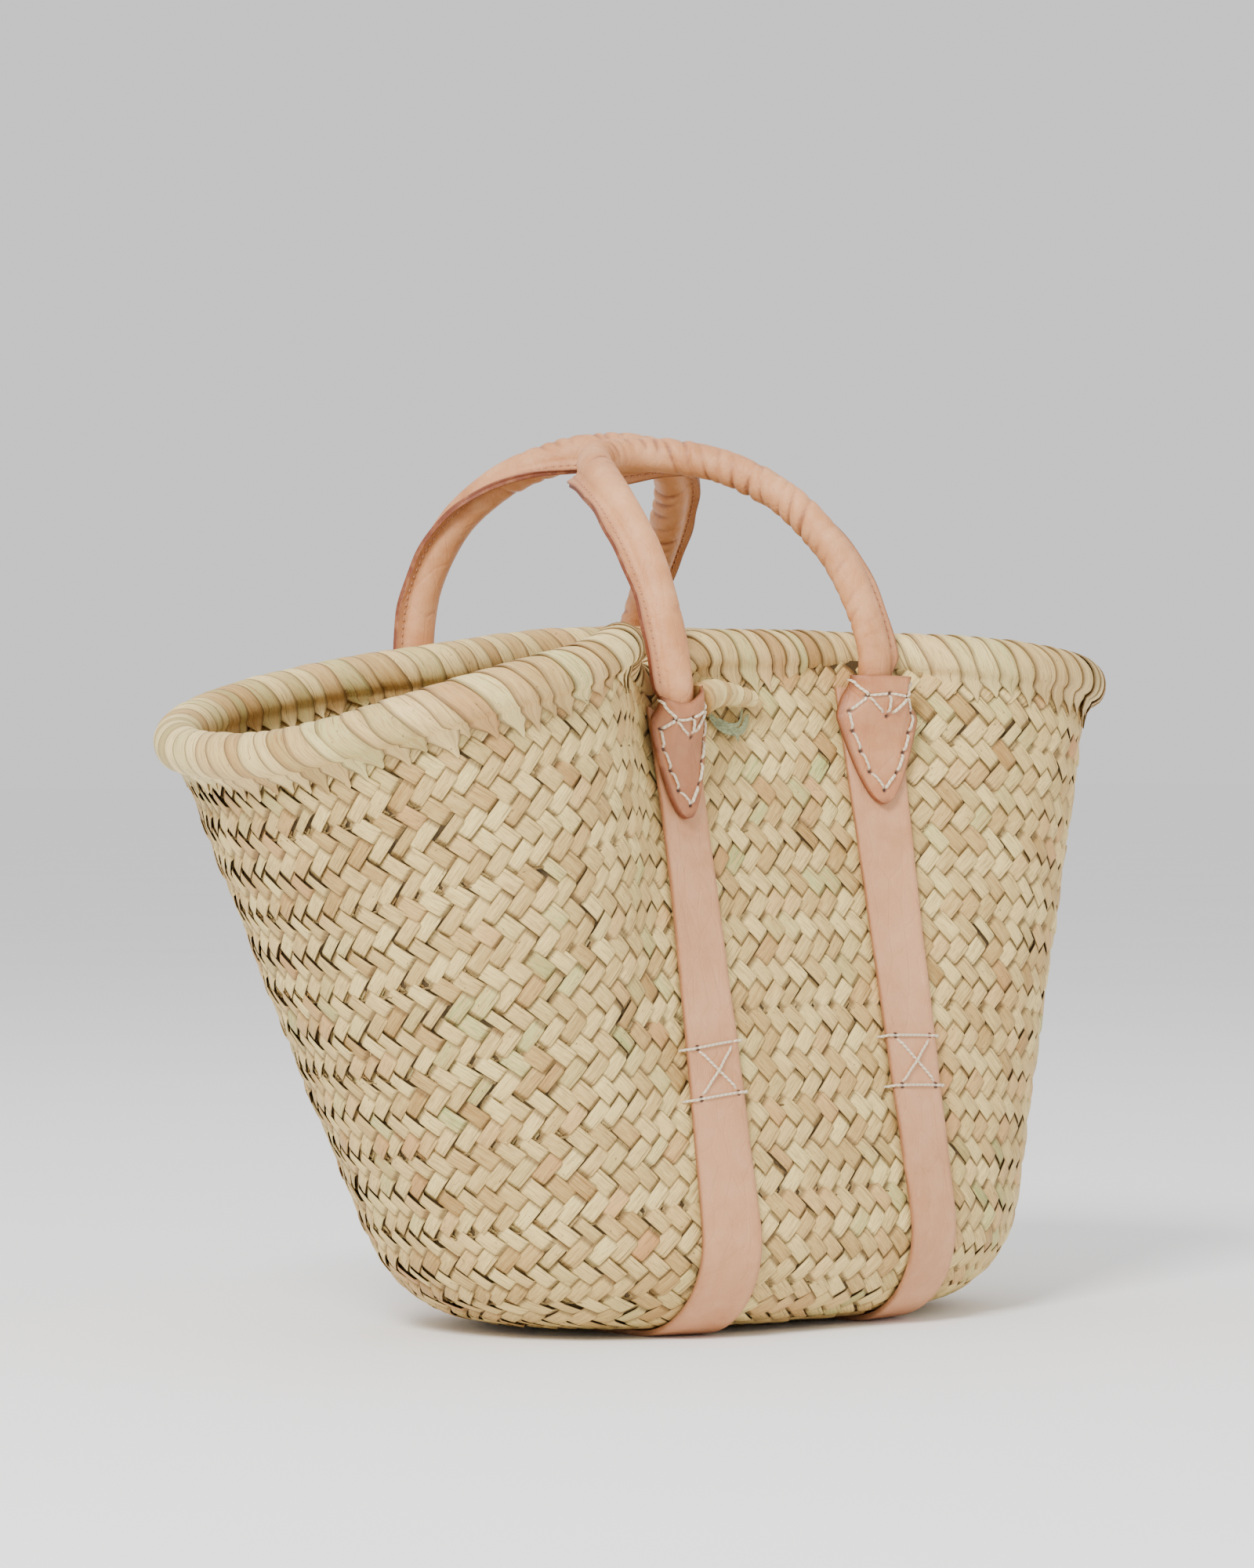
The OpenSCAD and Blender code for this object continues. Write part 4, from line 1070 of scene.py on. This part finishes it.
def cross_threads(k):
    """The crossed thread that sews a strap to the wall, with awl holes darkened as painted shade."""
    side = side_of(k)
    x0 = float(strap_x(k % 2, 0.26 if side < 0 else 0.74))
    low, high = (share_at(x0, z, side) for z in CROSS_Z)
    strap_top = BASE_Z + STRAP_LIFT

    def lay(x, t, h):
        p, n, _ = wall(angle_at(x0 + x, t, side), t)
        return p + n * np.asarray(h)[..., None]

    u = np.linspace(-1, 1, 41)
    v = (u + 1) / 2
    paths = []
    for t in (low, high):
        x = u * BAR_HALF
        on = smooth((16.3 - np.abs(x)) / 1.6)
        dip = 1.3 * bump(np.abs(x) - CROSS_HALF, 1.0) * on
        paths.append(lay(x, t, mix(0.2, strap_top + 0.65, on) - dip))
    for s in (-1, 1):
        ends = smooth(np.clip(np.minimum(v, 1 - v) * 8, 0, 1))
        hump = 0.75 * bump(v - 0.5, 0.14) * (s > 0)
        x, t = s * mix(-10.2, 10.2, v), mix(low, high, mix(0.05, 0.95, v))
        paths.append(lay(x, t, strap_top + mix(-0.8, 0.65, ends) + hump))
    name = CORNERS[k] + "_cross_stitches"
    add_threads(name + "_thread", paths, WAXED_R, THREAD, name)
    w = np.linspace(0, 2 * np.pi, 12, endpoint=False)
    holes = []
    for t in (low, high):
        for x in (-CROSS_HALF, CROSS_HALF):
            p, n, along = wall(angle_at(x0 + x, t, side), t)
            ring = circle(w, along[None], np.cross(n, along)[None])[0]
            holes.append([p + n * (strap_top + h) + r * ring for r, h in AWL_RINGS])
    verts, faces = many_tubes(np.array(holes))
    obj = new_mesh(CORNERS[k] + "_awl_holes", verts, faces, STRAP)
    fix_facing(obj)
    # Painted shade inside the awl holes
    add_values(obj, wear=np.ones(len(verts)))
    add_values(obj, hole=np.full(len(verts), 0.9))


# ---------------------------------------------------------------- handles

def arch_point(s, w):
    """Points of a handle's arch at angles w from its left foot to its right, and the way in under it."""
    rise, square, lean0, curl, skew, twist = ARCH[s]
    left, right, side = FOOT[2 * s], FOOT[2 * s + 1], side_of(2 * s)
    up = np.abs(sind(w)) ** (2 / square)
    flat_x = -sgn_pow(cosd(w), 2 / square)
    lean = lean0 + curl * up
    h = rise * up
    base = mix(left[None], right[None], ((flat_x + 1) / 2)[:, None])
    point = np.stack([base[:, 0] + skew * up,
                      base[:, 1] - side * (h * mean_sin(lean0, lean) + twist * flat_x * up),
                      base[:, 2] + h * mean_cos(lean0, lean)], axis=1)
    return point, stack(0, -side * cosd(lean), -sind(lean))


class HandleLine:
    """Stations 1.15 mm apart, from 15 mm down a handle's left neck over the arch to its right neck.

    flange is the way its stitched flange points, side is square to that, and squeeze is how flat the handle
    is along inward. along is 0 at the left foot and total at the right.
    """

    def __init__(self, s, spacing=1.15, neck=15.0):
        w = np.linspace(0, 180, 1441)
        run = run_along(arch_point(s, w)[0])
        self.total = run[-1]
        along = np.linspace(0, self.total, int(self.total / spacing))
        w = np.interp(along, run, w)
        p, normal = arch_point(s, w)
        ahead, behind = (arch_point(s, np.clip(w + turn, 0, 180))[0] for turn in (1, -1))
        step = w / 180 * ARCH_STEPS
        reach = np.minimum(step, ARCH_STEPS - step)
        upright = np.where((w < 90)[:, None], [0, 0, 1.0], [0, 0, -1.0])
        tangent = unit(mix(upright, unit(ahead - behind), smooth(reach / 1.2)[:, None]))
        inward = unit(normal - tangent * np.sum(normal * tangent, axis=1, keepdims=True))
        outer = np.cross(tangent, inward) * (1 if s == 0 else -1)
        turn = 90 * np.abs(cosd(w))[:, None] ** 0.8
        flange = inward * cosd(turn) + outer * sind(turn)
        squeeze = mix(FOOT_HALF / HANDLE_R, 1, smooth(reach / 4))
        rows = np.concatenate([p, tangent, flange, inward, squeeze[:, None], along[:, None]], axis=1)
        depth = np.arange(1, int(neck / spacing) + 1) * spacing
        left, right = (np.tile(row, (len(depth), 1)) for row in (rows[0], rows[-1]))
        left[:, :3] = FOOT[2 * s] - stack(0, 0, depth)
        right[:, :3] = FOOT[2 * s + 1] - stack(0, 0, depth)
        left[:, -1], right[:, -1] = -depth, self.total + depth
        rows = np.concatenate([left[::-1], rows, right])
        self.p, tangent, self.flange = rows[:, :3], rows[:, 3:6], rows[:, 6:9]
        self.inward, self.squeeze, self.along = rows[:, 9:12], rows[:, 12:13], rows[:, 13]
        self.side = np.cross(tangent, self.flange)


def flattened(offset, inward, squeeze):
    """Steps from a handle's centre line, made shorter along inward."""
    return offset - (1 - squeeze) * np.sum(offset * inward, axis=-1, keepdims=True) * inward


def pleats(s, line, w):
    """How far the leather swells and sinks along a handle, where it gathers on the inside of the bends."""
    rng = np.random.default_rng(40 + s)
    along = line.along[:, None]
    depth = np.zeros((len(along), len(w)))
    at = 0.36 * line.total
    while at < 0.97 * line.total:
        gap = rng.uniform(5.0, 9.5)
        strength = rng.uniform(0.35, 1.0) * (0.85 if at < 0.8 * line.total else 0.5)
        centre, spread = rng.uniform(110, 250), rng.uniform(85, 140)
        here = along - at - rng.uniform(0.02, 0.07) * (w - 180)
        around = strength * bump(w - centre, spread)
        depth += around * (0.6 * bump(here - 3.4, 2.4) - 1.5 * bump(here, 1.4))
        at += gap
    small_creases = 26
    for _ in range(small_creases):
        at, centre = rng.uniform(0, line.total), rng.uniform(60, 300)
        here = along - at - rng.uniform(-0.06, 0.06) * (w - centre)
        depth -= 0.22 * bump(w - centre, 40) * bump(here, 1.1)
    return depth + 0.22 * np.sin(along / 17 + w * 0.035) + 0.12 * np.sin(along / 7.1 - w * 0.05)


# Half the angle that the flange takes up of a handle's round section
LIP = 15.0


def handle(s):
    """The rolled leather sleeve with its stitched flange. Its necks run down under the tabs' collars."""
    name = SIDES[s]
    line = HandleLine(s)
    along = line.along
    w = np.linspace(LIP, 360 - LIP, 40)
    folds = pleats(s, line, w)
    radius = HANDLE_R - 0.05 + folds
    tube = stack(radius * cosd(w), radius * sind(w))
    # In the necks the flange dies away under the collar
    deep = np.clip(np.maximum(-along, along - line.total), 0, None)
    width = (FLANGE_W * (1 - 0.75 * smooth(deep / 9)) + 0.45 * np.sin(along / 9.0)
             + 0.3 * np.sin(along / 4.1 + 1))
    spread = 1 + 0.12 * np.sin(along / 13.0)
    upper = [(0.93, 0.22), (1.03, 1.05), (0.98, 1.5 * spread), (0.72, 1.45 * spread), (0.35, 0.95)]
    outline = [(a, -b) for a, b in upper[::-1]] + upper
    lips = np.stack([stack(HANDLE_R + width * a, b) for a, b in outline], axis=1)
    section = np.concatenate([tube, lips], axis=1)
    offset = section[..., :1] * line.flange[:, None] + section[..., 1:] * line.side[:, None]
    loop = line.p[:, None] + flattened(offset, line.inward[:, None], line.squeeze[:, None])
    verts, faces = many_tubes(loop[None])
    obj = new_mesh(name + "_handle_leather", verts, faces, HANDLE, body=None)
    fix_facing(obj)
    # Painted shade in the hollows of the pleats, and rubbed darker edges on the flange
    upper_wear = [1, 1, 0.75, 0.2, 0.25]
    folds_wear = np.clip((-folds - 0.3) / 0.8, 0, 0.65)
    lips_wear = np.tile(upper_wear[::-1] + upper_wear, (len(along), 1))
    add_values(obj, wear=np.concatenate([folds_wear, lips_wear], axis=1))
    add_values(obj, hole=np.zeros(len(verts)))
    low, high = swing_range(s)
    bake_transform(obj)
    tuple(low)
    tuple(high)
    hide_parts(name + "_handle_sleeve")
    stitches(s, line)
    core(s, line)


def swing_range(s, reach=8):
    """Points below and above the hinge line, square to it."""
    left, right = FOOT[2 * s], FOOT[2 * s + 1]
    axis = unit(right - left)
    up = unit(np.array([0, 0, 1.0]) - axis * axis[2])
    mid = (left + right) / 2
    return [list((mid + up * h) * MM) for h in (-reach, reach)]


def stitches(s, line):
    """Machine stitches on both faces of the flange."""
    name = SIDES[s]
    pitch, stitch_r, lie = 3.3, 0.4, 1.12
    arch = np.array([-0.35, 0.1, 0.22, 0.1, -0.35])
    rows = np.concatenate([line.p, line.flange, line.side, line.inward, line.squeeze], axis=1)
    paths, ups = [], []
    for face in (-1, 1):
        for at in np.arange(2, line.total - 2, pitch):
            u = at + np.linspace(-0.38, 0.38, len(arch)) * pitch
            here = np.stack([np.interp(u, line.along, column) for column in rows.T], axis=1)
            p, flange, side, inward, squeeze = np.split(here, (3, 6, 9, 12), axis=1)
            up = side * face
            offset = flange * (HANDLE_R + 0.42 * FLANGE_W) + up * (lie + arch)[:, None]
            paths.append(p + flattened(offset, inward, squeeze))
            ups.append(up)
    obj = add_threads(name + "_handle_stitches", paths, stitch_r, SEWING,
                      name + "_handle_thread", None, ups, 6)
    low, high = swing_range(s)
    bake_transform(obj)
    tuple(low)
    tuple(high)


def core(s, line):
    """The bundle of palm fibre inside a handle."""
    name = SIDES[s]
    keep = np.nonzero((line.along > 1) & (line.along < line.total - 1))[0][::3]
    w = np.linspace(0, 360, 24, endpoint=False)
    r = 5.6 + 0.35 * sind(w * 8)
    offset = r[:, None] * circle(np.radians(w), line.flange[keep], line.side[keep])
    offset = flattened(offset, line.inward[keep][:, None], line.squeeze[keep][:, None])
    verts, faces = many_tubes((line.p[keep][:, None] + offset)[None])
    obj = new_mesh(name + "_handle_fibres", verts, faces, CORD, name + "_handle")
    fix_facing(obj)
    add_values(obj, leaf=stack(line.along[keep][:, None], w / 60, 0))
    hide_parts(name + "_handle_core")


def handle_end(k):
    """A handle's flattened end, which lies between strap and tab."""
    f = np.linspace(0.93, END_SHARE - 0.02, 30)
    g = np.linspace(-1, 1, 13)
    low, high = end_inner(f), end_outer(f) - 0.15
    half = mix(END_HALF, 5.5, smooth(f * 3 - 2))
    t = below(k, tab_depth(f))[:, None]
    foot = wall_point(angle_at(BASE_X + FOOT_X[k] + g * half[:, None], t, side_of(k)), t)
    out = tab_out(k, f)[:, None]
    dome = 1 - np.abs(g) ** 2.5
    low, thick = low[:, None], (high - low)[:, None]
    top = foot + out * (low + thick * mix(0.35, 1, dome))[..., None]
    bottom = foot + out * (low + thick * mix(0.3, 0.02, dome))[..., None]
    plain = np.zeros(foot.shape[:2])
    name = CORNERS[k] + "_handle_end"
    leather_piece(name + "_leather", top, bottom, plain, plain, HANDLE, name)


# ---------------------------------------------------------------- stage

FLOOR_HALF = 30.0
WORLD_LIGHT = 0.95
# Lamps as name, place, size and power, aimed at the middle of the basket
LAMPS = (("key", (-2.1, -1.3, 2.2), 0.9, 125), ("fill", (1.6, -2.0, 1.4), 2.4, 8),
         ("top", (0.2, 0.9, 2.6), 2.2, 18))
MIDDLE = Vector((0, 0, 0.2))


def place_aimed(obj, place, target):
    obj.location = place
    obj.rotation_euler = (target - obj.location).to_track_quat("-Z", "Y").to_euler()
    bpy.context.scene.collection.objects.link(obj)


def stage():
    """White floor, white surroundings and three soft lamps."""
    floor = Nodes("floor_paper", 0.9, Specular_IOR_Level=0.1)
    grain = floor.noise(floor.object_space(), 3.0)
    paper = floor.finish(floor.blend(floor.ramp(grain, 0.3, 0.7), linear("#fbfbfb"), linear("#fefefe")))
    mesh = bpy.data.meshes.new("floor")
    corners = [(x * FLOOR_HALF, y * FLOOR_HALF, 0) for x, y in ((-1, -1), (1, -1), (1, 1), (-1, 1))]
    mesh.from_pydata(corners, [], [(0, 1, 2, 3)])
    mesh.materials.append(paper)
    obj = bpy.data.objects.new("floor", mesh)
    bpy.context.scene.collection.objects.link(obj)
    world = bpy.data.worlds.new("studio")
    world.use_nodes = True
    background = world.node_tree.nodes["Background"]
    background.inputs["Color"].default_value = (1, 1, 1, 1)
    background.inputs["Strength"].default_value = WORLD_LIGHT
    bpy.context.scene.world = world
    for name, place, size, power in LAMPS:
        light = bpy.data.lights.new(name, "AREA")
        light.size = size
        light.energy = power
        place_aimed(bpy.data.objects.new(name, light), place, MIDDLE)


def camera():
    """The photo's view: nearly level, with a long lens."""
    data = bpy.data.cameras.new("camera")
    data.lens = 126.9
    data.sensor_width = 36
    obj = bpy.data.objects.new("camera", data)
    place_aimed(obj, (-1.58290, -1.92996, 0.2550), Vector((-0.00146, 0.00657, 0.24062)))
    bpy.context.scene.camera = obj


camera()
stage()
wall_courses()
seam_cords()
base_mat()
rim_wraps()
rim_core()
rim_tail()
rim_tie()
for index in range(2):
    strap(index)
    handle(index)
for index in range(4):
    tab(index)
    tab_threads(index)
    cross_threads(index)
    handle_end(index)
